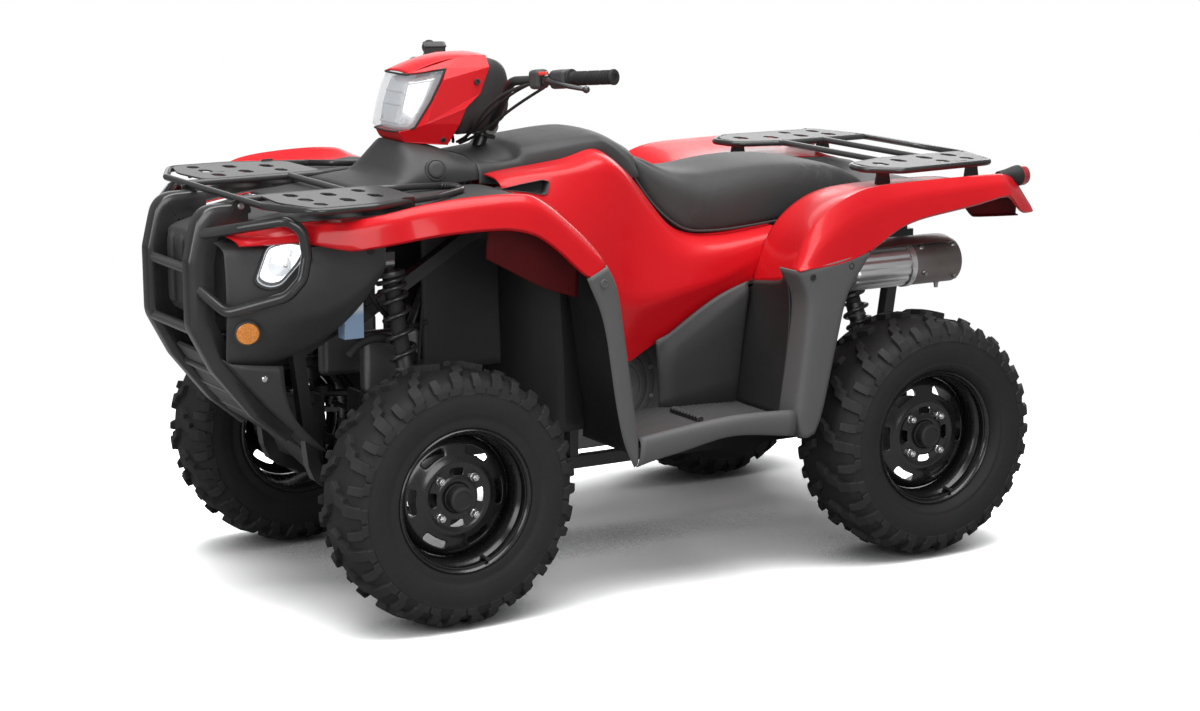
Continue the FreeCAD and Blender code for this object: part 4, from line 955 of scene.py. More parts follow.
def wide_panel(name, rows, creases, row_creases, finish=RED, wall=3.5, nodes=()):
    """Panel on both sides of the vehicle."""
    made = skin(name, rows, wall, 2, creases, row_creases)
    return fasten(both_sides(made), finish, nodes)


wide_panel("front_fender_panels", FRONT_FENDER_ROWS, {3: 0.55, 4: 0.75, 5: 0.9, 6: 1, 0: 1},
           {0: 1, 2: 0.4, 3: 0.4, 9: 0.3, 13: 1}, nodes=("front_fenders",))
print("Front fender length:", FRONT_FENDER_ROWS[0][0][0] - FRONT_FENDER_ROWS[-1][0][0], "mm")

# %% Dark deck under the rack
def height_on(row, y):
    """Height of a fender row at a distance from the middle."""
    for (_, near, low), (_, far, high) in zip(row, row[1:]):
        if near <= y <= far:
            return low + (high - low) * (y - near) / (far - near)
    return row[0][2]


DECK_LIMITS = (0, 205, 285, 340, 400, 440, 446, 446, 446, 440, 380, 300)
DECK_INNER, DECK_PROUD = 153, 2.6


def deck_row(row, limit):
    """Five points that lie just above a fender row, out to the insert's limit."""
    spread = [DECK_INNER + (limit - DECK_INNER) * share for share in (0, 0.25, 0.5, 0.75, 1)]
    return [(row[0][0], y, height_on(row, y) + DECK_PROUD) for y in spread]


insert_rows = [deck_row(row, limit) for row, limit in zip(FRONT_FENDER_ROWS, DECK_LIMITS) if limit]
insert_rows[-1] = [(x + 6, max(y, 206), z) for x, y, z in insert_rows[-1]]
wide_panel("front_deck_inserts", insert_rows, {0: 1, 4: 1}, {0: 1, len(insert_rows) - 1: 1}, DARK,
           wall=2.5)

# %% Inside the front wheel arch
ARCH_ROWS = [
    [(470, 470, 958), (470, 452, 900), (468, 440, 850), (466, 436, 838)],
    [(400, 470, 962), (400, 450, 890), (398, 438, 815), (396, 434, 800)],
    [(330, 470, 940), (330, 448, 860), (328, 436, 775), (326, 432, 760)],
    [(270, 470, 900), (268, 446, 820), (262, 434, 748), (260, 430, 736)],
    [(236, 480, 850), (232, 448, 790), (226, 436, 735), (224, 432, 726)],
]
# The liners' dark red is painted shade.
wide_panel("front_arch_liners", ARCH_ROWS, {0: 1, 3: 1}, {0: 1, 4: 1}, RED_PAINTED_SHADE)

# %% Side panels
SIDE_ROWS = [
    across(318, (151, 991), (185, 990), (210, 986), (228, 978), (236, 972), (238, 966), (236, 960),
           (233, 956)),
    across(262, (151, 999), (196, 998), (222, 988), (236, 974), (244, 962), (250, 948), (254, 936),
           (256, 926)),
    across(203, (151, 1003), (200, 1001), (226, 992), (246, 966), (262, 940), (274, 912),
           (282, 888), (286, 872)),
    across(150, (151, 1008), (204, 1004), (228, 992), (252, 950), (276, 900), (296, 850),
           (308, 806), (312, 780)),
    across(90, (151, 1014), (205, 1009), (226, 996), (250, 940), (272, 870), (294, 790),
           (304, 712), (298, 690)),
    across(40, (151, 1032), (206, 1022), (226, 1004), (248, 930), (270, 840), (298, 690),
           (288, 630), (280, 596)),
    across(2, (151, 1032), (206, 1016), (224, 996), (244, 910), (266, 808), (297, 662), (280, 566),
           (268, 506)),
    across(-40, (150, 1000), (190, 992), (218, 966), (238, 866), (258, 780), (292, 664),
           (274, 586), (262, 530)),
    across(-90, (150, 960), (176, 934), (212, 900), (242, 810), (258, 752), (286, 670), (270, 604),
           (258, 554)),
    across(-150, (150, 880), (190, 858), (222, 826), (250, 776), (262, 738), (281, 680),
           (267, 626), (257, 582)),
    across(-199, (160, 812), (206, 800), (236, 780), (254, 764), (264, 736), (278, 686),
           (266, 644), (257, 610)),
    across(-290, (160, 796), (212, 792), (240, 780), (256, 768), (265, 748), (274, 700),
           (265, 672), (259, 650)),
    across(-380, (160, 802), (212, 799), (240, 789), (254, 780), (261, 764), (266, 742),
           (268, 716), (266, 694)),
    across(-472, (160, 814), (212, 811), (240, 802), (252, 794), (257, 782), (260, 768),
           (262, 752), (260, 742)),
]
side_panels = wide_panel("side_panels_red", SIDE_ROWS, {2: 0.75, 0: 1, 7: 1, 5: 0.9, 3: 0.15},
                         {0: 1, 13: 1}, nodes=("side_panels",))

# %% [markdown]
# ## Vents
# Behind the front fender each side panel has a long black opening that narrows to the front.
# It is cut out of the panel with a plug of the same outline, and a black pocket behind it
# closes the view into the frame.

# %% Side vents
VENT = [(322, 965), (262, 973), (206, 979), (190, 974), (204, 948), (214, 944), (262, 954),
        (320, 962)]


def vent_ring(depth):
    """The opening's outline at a depth under the side panel."""
    return [(x, 224 + (1000 - z) * 0.62 + (262 - x) * 0.08 - depth, z)
            for x, z in rounded_outline(VENT, 6, 3)]


plug = ringed("vent_opening",
              [[(262, 210, 962)] * len(vent_ring(0)), vent_ring(18), vent_ring(-18)])
both_sides(plug)
cut_opening(side_panels, bake(plug))
recess = ringed("side_vent_recess", [vent_ring(2), vent_ring(34)], True, 20)
thick = recess.modifiers.new("wall", "SOLIDIFY")
thick.thickness = 1.6 * MM
fasten(both_sides(recess), WELL)

# %% Rear fenders
REAR_FENDER_ROWS = [
    [(-374, 262, 684), (-366, 300, 691), (-362, 380, 701), (-352, 440, 712), (-330, 500, 748),
     (-318, 540, 757), (-320, 555, 757), (-322, 548, 752)],
    [(-384, 262, 716), (-380, 300, 728), (-376, 380, 750), (-368, 445, 772), (-352, 506, 802),
     (-348, 544, 778), (-348, 555, 760), (-348, 547, 755)],
    [(-408, 262, 776), (-406, 300, 790), (-402, 380, 820), (-390, 450, 846), (-390, 512, 862),
     (-390, 543, 820), (-390, 555, 760), (-390, 547, 755)],
    across(-440, (262, 830), (300, 840), (380, 864), (450, 888), (517, 901), (543, 850),
           (555, 763), (547, 758)),
    across(-490, (258, 866), (310, 874), (380, 890), (455, 912), (520, 926), (543, 872),
           (555, 775), (547, 769)),
    across(-545, (250, 890), (310, 896), (390, 905), (460, 926), (520, 940), (543, 890),
           (555, 796), (547, 790)),
    across(-606, (243, 902), (320, 908), (400, 912), (465, 930), (520, 943), (543, 904),
           (555, 838), (547, 832)),
    across(-673, (242, 906), (320, 910), (410, 914), (470, 932), (520, 944), (543, 912),
           (555, 858), (547, 852)),
    across(-760, (242, 908), (320, 911), (415, 914), (472, 932), (520, 945), (543, 918),
           (555, 868), (547, 862)),
    across(-850, (242, 908), (320, 911), (415, 914), (470, 932), (519, 945), (542, 920),
           (554, 878), (546, 872)),
    across(-958, (242, 905), (320, 908), (410, 912), (460, 928), (506, 942), (532, 924),
           (547, 896), (539, 890)),
    across(-1008, (244, 896), (320, 900), (400, 905), (450, 920), (490, 930), (516, 888),
           (529, 842), (521, 838)),
    across(-1045, (330, 872), (360, 876), (410, 884), (445, 892), (478, 894), (502, 864),
           (512, 838), (505, 834)),
    across(-1072, (402, 850), (416, 852), (434, 857), (452, 862), (470, 864), (486, 850),
           (497, 836), (491, 833)),
]
wide_panel("rear_fender_panels", REAR_FENDER_ROWS, {4: 0.75, 5: 0.5, 6: 0.9, 7: 1, 0: 1},
           {0: 1, 1: 0.3, 10: 0.4, 13: 1}, nodes=("rear_fenders",))

tail_wall = [[(x, 448, top), (x, 444, (top + low) / 2), (x, 442, low), (x, 452, low - 2)]
             for x, top, low in ((-890, 880, 862), (-916, 896, 832), (-990, 900, 828),
                                 (-1060, 862, 825))]
# The tail walls' dark red is painted shade under the fender.
wide_panel("rear_tail_walls", tail_wall, {0: 1, 3: 1, 2: 0.8}, {0: 1, 3: 1, 1: 0.8}, RED_PAINTED_SHADE,
           wall=3)

# %% Rear deck
DECK_ROWS = [[(x, y, z)
              for y, z in ((240, edge), (214, edge - 4), (190, low + 6), (150, low), (0, low - 3),
                           (-150, low), (-190, low + 6), (-214, edge - 4), (-240, edge))]
             for x, edge, low in ((-858, 904, 856), (-910, 903, 858), (-960, 901, 865),
                                  (-1030, 886, 870))]
fasten(skin("rear_deck_cover", DECK_ROWS, 3.5, 2, {0: 1, 8: 1}, {0: 1, 3: 1}), DARK,
       ("rear_deck",))

# %% [markdown]
# ## Tank and neck covers
# The parts a rider touches most are grained dark plastic. The tank cover rises to a ridge in
# front of the seat and has a shallow tray on each side near the handlebar. Both covers are
# skins through rows across the vehicle, closed below by the frame.

# %% Tank cover
def mirrored_row(x, half):
    """Row across the vehicle from its left half."""
    return [(x, y, z) for y, z in half] + [(x, -y, z) for y, z in half[::-1] if y > 0]


TANK_ROWS = [mirrored_row(x, half) for x, half in (
    (331, [(149, 968), (149, 986), (146, 1001), (134, 1010), (112, 1018), (70, 1024), (0, 1026)]),
    (300, [(149, 965), (149, 988), (146, 1003), (136, 1012), (116, 1017), (72, 1030), (0, 1033)]),
    (262, [(149, 962), (149, 992), (146, 1006), (138, 1010), (118, 1006), (76, 1034), (0, 1040)]),
    (222, [(149, 960), (149, 996), (146, 1010), (138, 1016), (119, 1013), (78, 1040), (0, 1047)]),
    (200, [(149, 960), (149, 998), (146, 1013), (138, 1028), (121, 1040), (82, 1049), (0, 1051)]),
    (150, [(149, 958), (149, 1002), (146, 1017), (140, 1032), (122, 1046), (86, 1054), (0, 1056)]),
    (95, [(149, 956), (149, 1008), (146, 1022), (140, 1038), (122, 1051), (88, 1058), (0, 1060)]),
    (40, [(149, 956), (149, 1024), (146, 1036), (140, 1046), (122, 1056), (88, 1064), (0, 1067)]),
    (-10, [(149, 956), (149, 1022), (146, 1036), (140, 1047), (120, 1057), (86, 1065), (0, 1068)]),
    (-48, [(149, 956), (149, 984), (146, 1004), (138, 1026), (116, 1044), (84, 1054), (0, 1060)]),
    (-84, [(149, 950), (148, 962), (144, 976), (134, 996), (112, 1020), (80, 1034), (0, 1043)]),
    (-121, [(134, 949), (134, 954), (130, 960), (122, 968), (104, 996), (76, 1014), (0, 1025)]))]
fasten(skin("tank_cover_skin", TANK_ROWS, 3.5, 2, {3: 0.75, 9: 0.75, 0: 1, 12: 1, 4: 0.6, 8: 0.6},
            {0: 1, 11: 1, 3: 0.5, 4: 0.7, 8: 0.35}), COVER, ("tank_cover",))

# %% Neck cover and its round caps
NECK_ROWS = [mirrored_row(x, half) for x, half in (
    (648, [(149, 957), (149, 958), (146, 960), (130, 961), (112, 962), (60, 963), (0, 963)]),
    (639, [(149, 962), (149, 966), (146, 970), (134, 972), (112, 974), (60, 976), (0, 976)]),
    (600, [(149, 964), (149, 969), (146, 974), (134, 977), (112, 979), (60, 981), (0, 982)]),
    (540, [(149, 966), (149, 972), (147, 977), (138, 981), (118, 984), (72, 987), (0, 988)]),
    (490, [(149, 968), (149, 984), (146, 998), (132, 1014), (98, 1048), (58, 1066), (0, 1067)]),
    (440, [(149, 970), (149, 990), (146, 1006), (134, 1022), (104, 1046), (60, 1060), (0, 1061)]),
    (400, [(149, 972), (149, 992), (147, 1008), (136, 1022), (110, 1041), (60, 1050), (0, 1052)]),
    (368, [(149, 976), (149, 989), (147, 1003), (136, 1013), (112, 1026), (64, 1034), (0, 1036)]),
    (333, [(149, 978), (149, 986), (146, 1001), (134, 1010), (112, 1018), (70, 1024), (0, 1026)]))]
fasten(skin("neck_cover_skin", NECK_ROWS, 3.5, 2, {3: 0.6, 9: 0.6, 5: 0.95, 7: 0.95, 0: 1, 12: 1},
            {0: 1, 1: 0.7, 8: 1, 3: 0.95, 4: 0.95, 5: 0.2}), COVER, ("neck_cover",))
for hand, side in HANDS:
    fasten(turned("neck_cap_" + hand,
                  [(-22, 27), (2, 27), (6, 26), (7, 23), (6, 21), (10, 20), (12, 17), (12.5, 10),
                   (12.6, 0.1)], (444, side * 145, 1008), Vector((0.12, side, 0.3)).normalized(),
                  40), DARK)

# %% [markdown]
# ## Seat
# The seat is a foam block under one sheet of stretch vinyl. Its form is a closed skin through
# cross sections. The foam pushes the cover out between its seams, so a short cloth simulation
# with inner pressure gives the crown, with every point held within a few millimetres of the
# drawn form. A piped welt runs round the lower edge where cover meets pan.

# %% Seat form
def seat_row(x, top, half_top, shoulder, half, low):
    """Half section of the cushion from its top to its lower edge."""
    return mirrored_row(x,
                        [(half - 6, low), (half, low + 6), (half + 1, (low + shoulder) / 2),
                         (half - 4, shoulder),
                         ((half + half_top) / 2 + 4, (shoulder + top) / 2 + 8),
                         (half_top, top - 4), (half_top * 0.5, top), (0, top)])


SEAT_ROWS = [seat_row(*row) for row in (
    (-127, 1012, 52, 1000, 104, 938), (-145, 1003, 68, 984, 132, 892),
    (-178, 980, 84, 950, 160, 842),
    (-228, 956, 102, 916, 182, 804), (-285, 945, 118, 892, 184, 800),
    (-345, 945, 130, 886, 192, 800),
    (-420, 954, 136, 894, 196, 806), (-500, 960, 138, 902, 197, 812),
    (-590, 959, 138, 906, 196, 818),
    (-680, 947, 132, 900, 186, 828), (-750, 929, 124, 890, 172, 840),
    (-805, 905, 112, 878, 152, 844),
    (-840, 880, 96, 866, 130, 847), (-850, 866, 84, 860, 118, 849))]


def closed_loft(name, rows, levels, row_creases=None, column_creases=None):
    """Closed skin whose first and last rows are filled."""
    made = skin(name, rows, 0, levels, column_creases, row_creases, closed=True)
    edit_mesh(made.data, fill_ends, face_outward)
    return made


seat = closed_loft("seat_cushion", SEAT_ROWS, 2, {0: 0.4, 13: 0.6}, {0: 0.6, 14: 0.6})
bake(seat)


# %% Foam pressure
def press_foam(piece, voxel=7, pressure=4, limit=7):
    """Swell a closed form with cloth pressure, no point further than the limit."""
    remesh = piece.modifiers.new("even", "REMESH")
    remesh.mode, remesh.voxel_size = "VOXEL", voxel * MM
    bake(piece)
    rest = [vertex.co.copy() for vertex in piece.data.vertices]
    cloth = piece.modifiers.new("foam", "CLOTH")
    cloth.settings.use_pressure = True
    cloth.settings.uniform_pressure_force = pressure
    cloth.settings.quality = 4
    cloth.settings.effector_weights.gravity = 0
    cloth.collision_settings.use_collision = False
    cloth.point_cache.frame_start, cloth.point_cache.frame_end = 1, 20
    for frame_number in range(1, 21):
        scene.frame_set(frame_number)
    bake(piece)
    scene.frame_set(1)
    for vertex, start in zip(piece.data.vertices, rest):
        move = vertex.co - start
        if move.length > limit * MM:
            vertex.co = start + move.normalized() * limit * MM
    print("Swollen by up to", limit, "mm on", len(rest), "points")


for vertex in seat.data.vertices:
    vertex.co.x = -0.486 + (vertex.co.x + 0.486) * 0.985
    vertex.co.y *= 0.968
    vertex.co.z = 0.87 + (vertex.co.z - 0.87) * 0.95 - 0.001
press_foam(seat)
finer = seat.modifiers.new("finer", "SUBSURF")
finer.levels = finer.render_levels = 1
soften(seat, 60)
fasten(seat, VINYL, ("seat",))

# %% Welt round the cushion
welt_line = [row[1] for row in SEAT_ROWS] + [row[-2] for row in SEAT_ROWS[::-1]]
welt_line = [(x, y * 1.002, z + 2) for x, y, z in welt_line]
fasten(bar("seat_welt", welt_line + welt_line[:1], 3.2, smooth=True, ends=False), VINYL)
print("Seat rows:", len(SEAT_ROWS))

# %% [markdown]
# ## Front bumper and racks
# The bumper's uprights are deep moulded beams with a rounded front edge over a steel core, tied
# by two cross bars and three lower ones; a tube loop on each side guards the lamps. Racks are
# bent tube with stamped plates on top. Tubes are bevelled curves whose corners are arcs, as a
# bender leaves them, and the plates are cut sheets with rounded edges round every hole.

# %% Plates with holes
def plate(name, outline, holes, place, thickness, edge=1.2):
    """Flat sheet with holes; place turns (u, v) into a point and gives its outward normal."""
    data = bpy.data.curves.new(name + "_outline", "CURVE")
    data.dimensions = "2D"
    data.fill_mode = "BOTH"
    for loop in [outline] + holes:
        spline = data.splines.new("POLY")
        spline.points.add(len(loop) - 1)
        for knot, (u, v) in zip(spline.points, loop):
            knot.co = (u * MM, v * MM, 0, 1)
        spline.use_cyclic_u = True
    data.extrude = thickness / 2 * MM
    flat = new_object(name + "_flat", data)
    graph = bpy.context.evaluated_depsgraph_get()
    mesh = bpy.data.meshes.new_from_object(flat.evaluated_get(graph))
    bpy.data.objects.remove(flat)
    edit_mesh(mesh, weld)
    mesh.transform(place)
    made = new_object(name, mesh)
    soften(made, 35)
    round_edges(made, edge, 2, 40)
    return made


def frame_at(origin, along, across):
    """Matrix that lays a flat sheet's u along one direction and v across another."""
    u = Vector(along).normalized()
    v = (Vector(across) - u * Vector(across).dot(u)).normalized()
    matrix = Matrix((u, v, u.cross(v))).transposed().to_4x4()
    return Matrix.Translation(Vector(origin) * MM) @ matrix


def hex_hole(u, v, length, width, angle=0):
    """Rounded six-sided opening, as stamped in the rack plates."""
    half, deep = length / 2, width / 2
    corners = [(-half, 0), (-half + deep, deep), (half - deep, deep), (half, 0),
               (half - deep, -deep), (-half + deep, -deep)]
    turn = math.radians(angle)
    corners = [(u + a * math.cos(turn) - b * math.sin(turn),
                v + a * math.sin(turn) + b * math.cos(turn)) for a, b in corners]
    return rounded_outline(corners, 7)


# %% Front rack
RACK_TUBE = 8


def rack_tube(name, points, radius=RACK_TUBE):
    """Straight or bent tube of a rack."""
    fasten(bar(name, points, radius, 26, steps=7, sides=5), TUBE_BLACK)


def both_ends(points):
    """Path of the left half continued over its mirror image."""
    return points + [(x, -y, z) for x, y, z in points[::-1]]


FRONT_LOOP = [(600, 158, 978), (425, 205, 978), (440, 275, 978), (548, 353, 978), (735, 425, 978),
              (885, 428, 978), (948, 290, 978)]
fasten(bar("front_rack_loop", bend_path(both_ends(FRONT_LOOP), 42, 8), RACK_TUBE, 0.1, steps=1,
           sides=5), TUBE_BLACK, ("front_rack",))
FRONT_PLATE = rounded_outline([(903, 162), (916, 300), (880, 421), (738, 418), (604, 366),
                               (598, 162)], 26)
FRONT_HOLES = [hex_hole(846, 208, 62, 28, 90), hex_hole(846, 292, 62, 28, 90),
               hex_hole(846, 372, 54, 26, 90), hex_hole(764, 236, 66, 28, 90),
               hex_hole(764, 338, 66, 28, 90), hex_hole(680, 216, 58, 26, 90),
               hex_hole(680, 306, 66, 28, 90)]
for hand, side in HANDS:
    fasten(plate("front_rack_plate_" + hand, [(x, side * y) for x, y in FRONT_PLATE],
                 [[(x, side * y) for x, y in hole] for hole in FRONT_HOLES],
                 Matrix.Translation((0, 0, 983.4 * MM)), 4.4), PLATE_BLACK_PAINTED_SHEEN)
    rack_tube("front_rack_inner_" + hand, [(948, side * 158, 978), (598, side * 158, 978)])
    rack_tube("front_rack_brace_" + hand, [(886, side * 292, 976), (790, side * 424, 976)],
              radius=6)
    foot = plate("front_rack_foot_" + hand,
                 rounded_outline([(-22, -30), (22, -30), (16, 22), (-16, 22)], 6), [],
                 frame_at((640, side * 388, 968), (1, 0, 0), (0, side * 0.25, 1)), 4)
    fasten(foot, TUBE_BLACK)
rack_tube("front_rack_cross_rear", [(685, -158, 978), (685, 158, 978)])
print("Front rack holes:", 2 * len(FRONT_HOLES))

# %% Rear rack
REAR_LOOP = [(-806, 218, 954), (-668, 262, 954), (-650, 345, 954), (-720, 412, 954),
             (-1015, 395, 954), (-1062, 212, 954)]
fasten(bar("rear_rack_loop", bend_path(both_ends(REAR_LOOP), 42, 8), RACK_TUBE, 0.1, steps=1,
           sides=5), TUBE_BLACK, ("rear_rack",))
REAR_PLATE = rounded_outline([(-1042, 224), (-1046, 262), (-1008, 390), (-724, 406), (-668, 346),
                              (-674, 266), (-790, 226)], 20)
REAR_HOLES = [hex_hole(-975, 268, 64, 28, 90), hex_hole(-975, 345, 54, 26, 90),
              hex_hole(-890, 278, 66, 28, 90), hex_hole(-890, 356, 54, 26, 90),
              hex_hole(-800, 290, 66, 28, 90), hex_hole(-722, 320, 66, 28, 90)]
for hand, side in HANDS:
    fasten(plate("rear_rack_plate_" + hand, [(x, side * y) for x, y in REAR_PLATE],
                 [[(x, side * y) for x, y in hole] for hole in REAR_HOLES],
                 Matrix.Translation((0, 0, 959.4 * MM)), 4.4), PLATE_BLACK_PAINTED_SHEEN)
    rack_tube("rear_rack_inner_" + hand, [(-1060, side * 221, 954), (-780, side * 221, 954)])
    for index, (x, low) in enumerate(((-720, 911), (-1000, 903))):
        foot = plate("rear_rack_foot_%s_%d" % (hand, index),
                     rounded_outline([(-24, low - 958), (24, low - 958), (16, -4), (-16, -4)], 6),
                     [], frame_at((x, side * 332, 958), (1, 0, 0), (0, 0, 1)), 5)
        fasten(foot, TUBE_BLACK)
for index, x in enumerate((-795, -925)):
    rack_tube("rear_rack_cross_%d" % index, [(x, -220, 954), (x, 220, 954)])

# %% Bumper uprights
UPRIGHT_LINE = [(925, 949.7), (1030, 949.7), (1056.5, 840), (1056.5, 690), (1004, 590), (912, 474),
                (836, 410)]


def upright(side):
    """Deep beam with a rounded front edge, following a bent line."""
    path = bend_path([(x, 0, z) for x, z in UPRIGHT_LINE], 46, 6)
    rows = []
    for index, point in enumerate(path):
        before, after = path[max(index - 1, 0)], path[min(index + 1, len(path) - 1)]
        way = (after - before).normalized()
        out = Vector((way.z, 0, -way.x))
        if out.x < 0 and index > 3:
            out = -out
        if index <= 3 and out.z < 0:
            out = -out
        share = index / (len(path) - 1)
        depth = 62 - 22 * max(share - 0.55, 0) / 0.45
        outer = point + out * 17.5
        section = [(0, 17), (-3, 22), (-12, 25), (-depth, 25), (-depth, 20), (-13, 19), (-9, 0),
                   (-13, -19), (-depth, -20), (-depth, -25), (-12, -25), (-3, -22), (0, -17),
                   (1.2, 0)]
        rows.append([(outer + out * u + Vector((0, side * 124 + v, 0))) for u, v in section])
    made = closed_loft("bumper_upright_" + ("left" if side > 0 else "right"), rows, 1,
                       {0: 1, len(rows) - 1: 1}, {3: 0.9, 4: 0.9, 8: 0.9, 9: 0.9})
    soften(made, 40)
    return made


for side, nodes in ((1, ("front_bumper",)), (-1, ())):
    fasten(upright(side), TUBE_BLACK, nodes)
GUARD_LOOP = [(1036, 140, 903), (985, 240, 926), (912, 338, 950), (880, 348, 925), (872, 348, 870),
              (882, 345, 815), (915, 336, 778), (1022, 240, 735), (1046, 140, 775)]
for hand, side in HANDS:
    loop = bar("lamp_guard_" + hand, [(x, side * y, z) for x, y, z in GUARD_LOOP], 12.5, 44,
               steps=7, sides=6)
    fasten(loop, TUBE_BLACK)
    fasten(plate("bumper_arm_" + hand,
                 rounded_outline([(826, 603), (1010, 603), (1020, 623), (826, 623)], 6),
                 [rounded_outline([(860, 609), (890, 609), (890, 617), (860, 617)], 4)],
                 frame_at((0, side * 128, 0), (1, 0, 0), (0, 0, 1)), 22), FRAME_BLACK)
    fasten(plate("rack_bracket_" + hand,
                 rounded_outline([(918, 944), (962, 944), (966, 976), (926, 980)], 8), [],
                 frame_at((0, side * 150, 0), (1, 0, 0), (0, 0, 1)), 6), TUBE_BLACK)
    fasten(turned("rack_bracket_bolt_" + hand,
                  [(0, 0.1), (0, 8), (4, 8), (6, 6), (6, 3.4), (3.5, 3), (3.5, 0.1)],
                  (945, side * 153, 962), (0, side, 0), 24), STEEL)
for index, z in enumerate((819, 681)):
    fasten(bar("bumper_cross_bar_%d" % index, [(1058, -122, z), (1058, 122, z)], 12, sides=6),
           TUBE_BLACK)
for index, (x, z) in enumerate(((985, 566), (945, 516), (898, 462))):
    fasten(bar("bumper_lower_bar_%d" % index, [(x, -122, z), (x, 122, z)], 9, sides=5), TUBE_BLACK)
print("Bumper bars: 5")

# %% [markdown]
# ## Nose
# Between the bumper's uprights sits a dark fascia in three ribs, and to each side a cheek wraps
# round the lamp and runs down under the fender. The cheeks carry round amber reflectors and two
# push pins. Behind them the lower shell tapers to the skid plate.

# %% Nose centre
NOSE_ROWS = [mirrored_row(x, half) for x, half in (
    (1029, [(88, 702), (90, 730), (90, 800), (90, 868), (86, 886), (60, 894), (0, 897)]),
    (1012, [(116, 698), (118, 730), (118, 800), (118, 876), (112, 892), (70, 900), (0, 903)]),
    (985, [(138, 694), (140, 730), (140, 800), (140, 884), (134, 898), (80, 908), (0, 911)]),
    (950, [(148, 694), (149, 730), (149, 800), (149, 892), (143, 905), (84, 914), (0, 918)]))]
fasten(closed_loft("nose_centre", NOSE_ROWS, 1, {0: 0.7, 3: 1}, {4: 0.5, 8: 0.5}), DARK,
       ("nose_center",))
for index, y in enumerate((-58, 0, 58)):
    ridge = [mirrored_row(x,
                          [(15 * w, low), (17 * w, low + 8), (17 * w, high - 14), (13 * w, high),
                           (0, high + 2)])
             for x, low, high, w in ((1020, 712, 888, 1), (1033, 716, 882, 1),
                                     (1038, 724, 872, 0.8))]
    ridge = [[(x, y + v, z) for x, v, z in row] for row in ridge]
    made = closed_loft("nose_rib_%d" % index, ridge, 1, {0: 1, 2: 0.5}, {})
    fasten(made, COVER)
for index, (x0, x1, z0, z1) in enumerate(((792, 640, 950, 968), (928, 806, 922, 946))):
    lid = [[(x, y, z0 + (z1 - z0) * (x0 - x) / (x0 - x1) + drop) for y, drop in
            ((-147, -3), (-132, 0), (-60, 2), (0, 2.5), (60, 2), (132, 0), (147, -3))] for x in
           (x0, (x0 * 3 + x1) / 4, (x0 + x1) / 2, (x0 + x1 * 3) / 4, x1)]
    made = skin("front_lid_%d" % index, lid, 6, 2, {0: 1, 6: 1, 1: 0.4, 5: 0.4}, {0: 1, 4: 1})
    fasten(made, DARK)

# %% Cheeks
CHEEK_ROWS = [
    [(1012, 140, 884), (1012, 182, 880), (1012, 206, 868), (1012, 214, 820), (1012, 214, 762),
     (1010, 208, 716), (1006, 192, 660), (1002, 176, 616), (996, 166, 604)],
    [(985, 140, 887), (985, 206, 884), (985, 230, 872), (985, 240, 822), (985, 243, 762),
     (985, 234, 716), (980, 208, 656), (976, 184, 610), (972, 170, 598)],
    [(955, 140, 890), (955, 226, 886), (955, 250, 874), (955, 262, 826), (955, 268, 764),
     (955, 256, 716), (950, 220, 652), (946, 188, 606), (944, 172, 594)],
    across(905, (140, 893), (250, 886), (272, 876), (282, 830), (292, 766), (278, 716), (232, 648),
           (192, 602), (174, 590)),
    across(860, (140, 896), (270, 884), (292, 877), (298, 832), (304, 770), (290, 716), (238, 652),
           (200, 612), (184, 604)),
    across(800, (240, 892), (280, 886), (300, 880), (304, 838), (306, 780), (298, 724), (262, 672),
           (238, 644), (230, 640)),
    across(740, (236, 891), (280, 885), (302, 880), (305, 846), (306, 800), (301, 752), (284, 712),
           (272, 694), (266, 690)),
    across(690, (232, 890), (280, 884), (303, 879), (305, 854), (306, 822), (303, 792), (294, 768),
           (288, 756), (284, 752)),
    across(655, (230, 884), (280, 880), (302, 874), (304, 858), (304, 842), (302, 826), (296, 812),
           (291, 804), (288, 802))]
cheek = wide_panel("nose_cheeks", CHEEK_ROWS, {2: 0.8, 5: 0.7, 8: 1, 0: 1},
                   {0: 1, 1: 0.5, 5: 0.3, 8: 1}, DARK, wall=3, nodes=("nose_cover",))


# %% Lamps in the cheeks
def lamp_point(x, z, depth=0):
    """Point on the lamp's face, which leans with the cheek."""
    return (x - depth * 0.3, 303.5 - 0.291 * (x - 800) + 0.235 * (866 - z) - depth, z)


LAMP = [(966, 806), (930, 884), (880, 894), (836, 886), (858, 846), (910, 794), (940, 790)]
lamp_middle = (sum(x for x, z in LAMP) / 7, sum(z for x, z in LAMP) / 7)


def lamp_ring(scale, depth):
    """The lamp's outline, scaled about its middle and set back."""
    return [lamp_point(lamp_middle[0] + (x - lamp_middle[0]) * scale,
                       lamp_middle[1] + (z - lamp_middle[1]) * scale, depth)
            for x, z in rounded_outline(LAMP, 16, 3)]


plug = ringed("lamp_opening", [lamp_ring(0, 60), lamp_ring(0.99, 60), lamp_ring(0.99, -40)])
both_sides(plug)
cut_opening(cheek, bake(plug))
bezel = ringed("headlamp_bezel", [lamp_ring(1.10, 1), lamp_ring(1.06, -3.5), lamp_ring(0.99, -3.5),
                                  lamp_ring(0.97, 3)], False)
glass = ringed("headlamp_lens", [lamp_ring(1.0, 3), lamp_ring(0.99, -1), lamp_ring(0.92, -4),
                                 lamp_ring(0.5, -5.5)], True, 60)
bowl = ringed("headlamp_bowl", [lamp_ring(0.97, 2), lamp_ring(0.86, 14), lamp_ring(0.80, 22),
                                lamp_ring(0.52, 40), lamp_ring(0.2, 46)], True, 25)
ribs = ringed("headlamp_step", [lamp_ring(0.92, 3), lamp_ring(0.90, 9), lamp_ring(0.84, 9),
                                lamp_ring(0.82, 15)], False, 25)
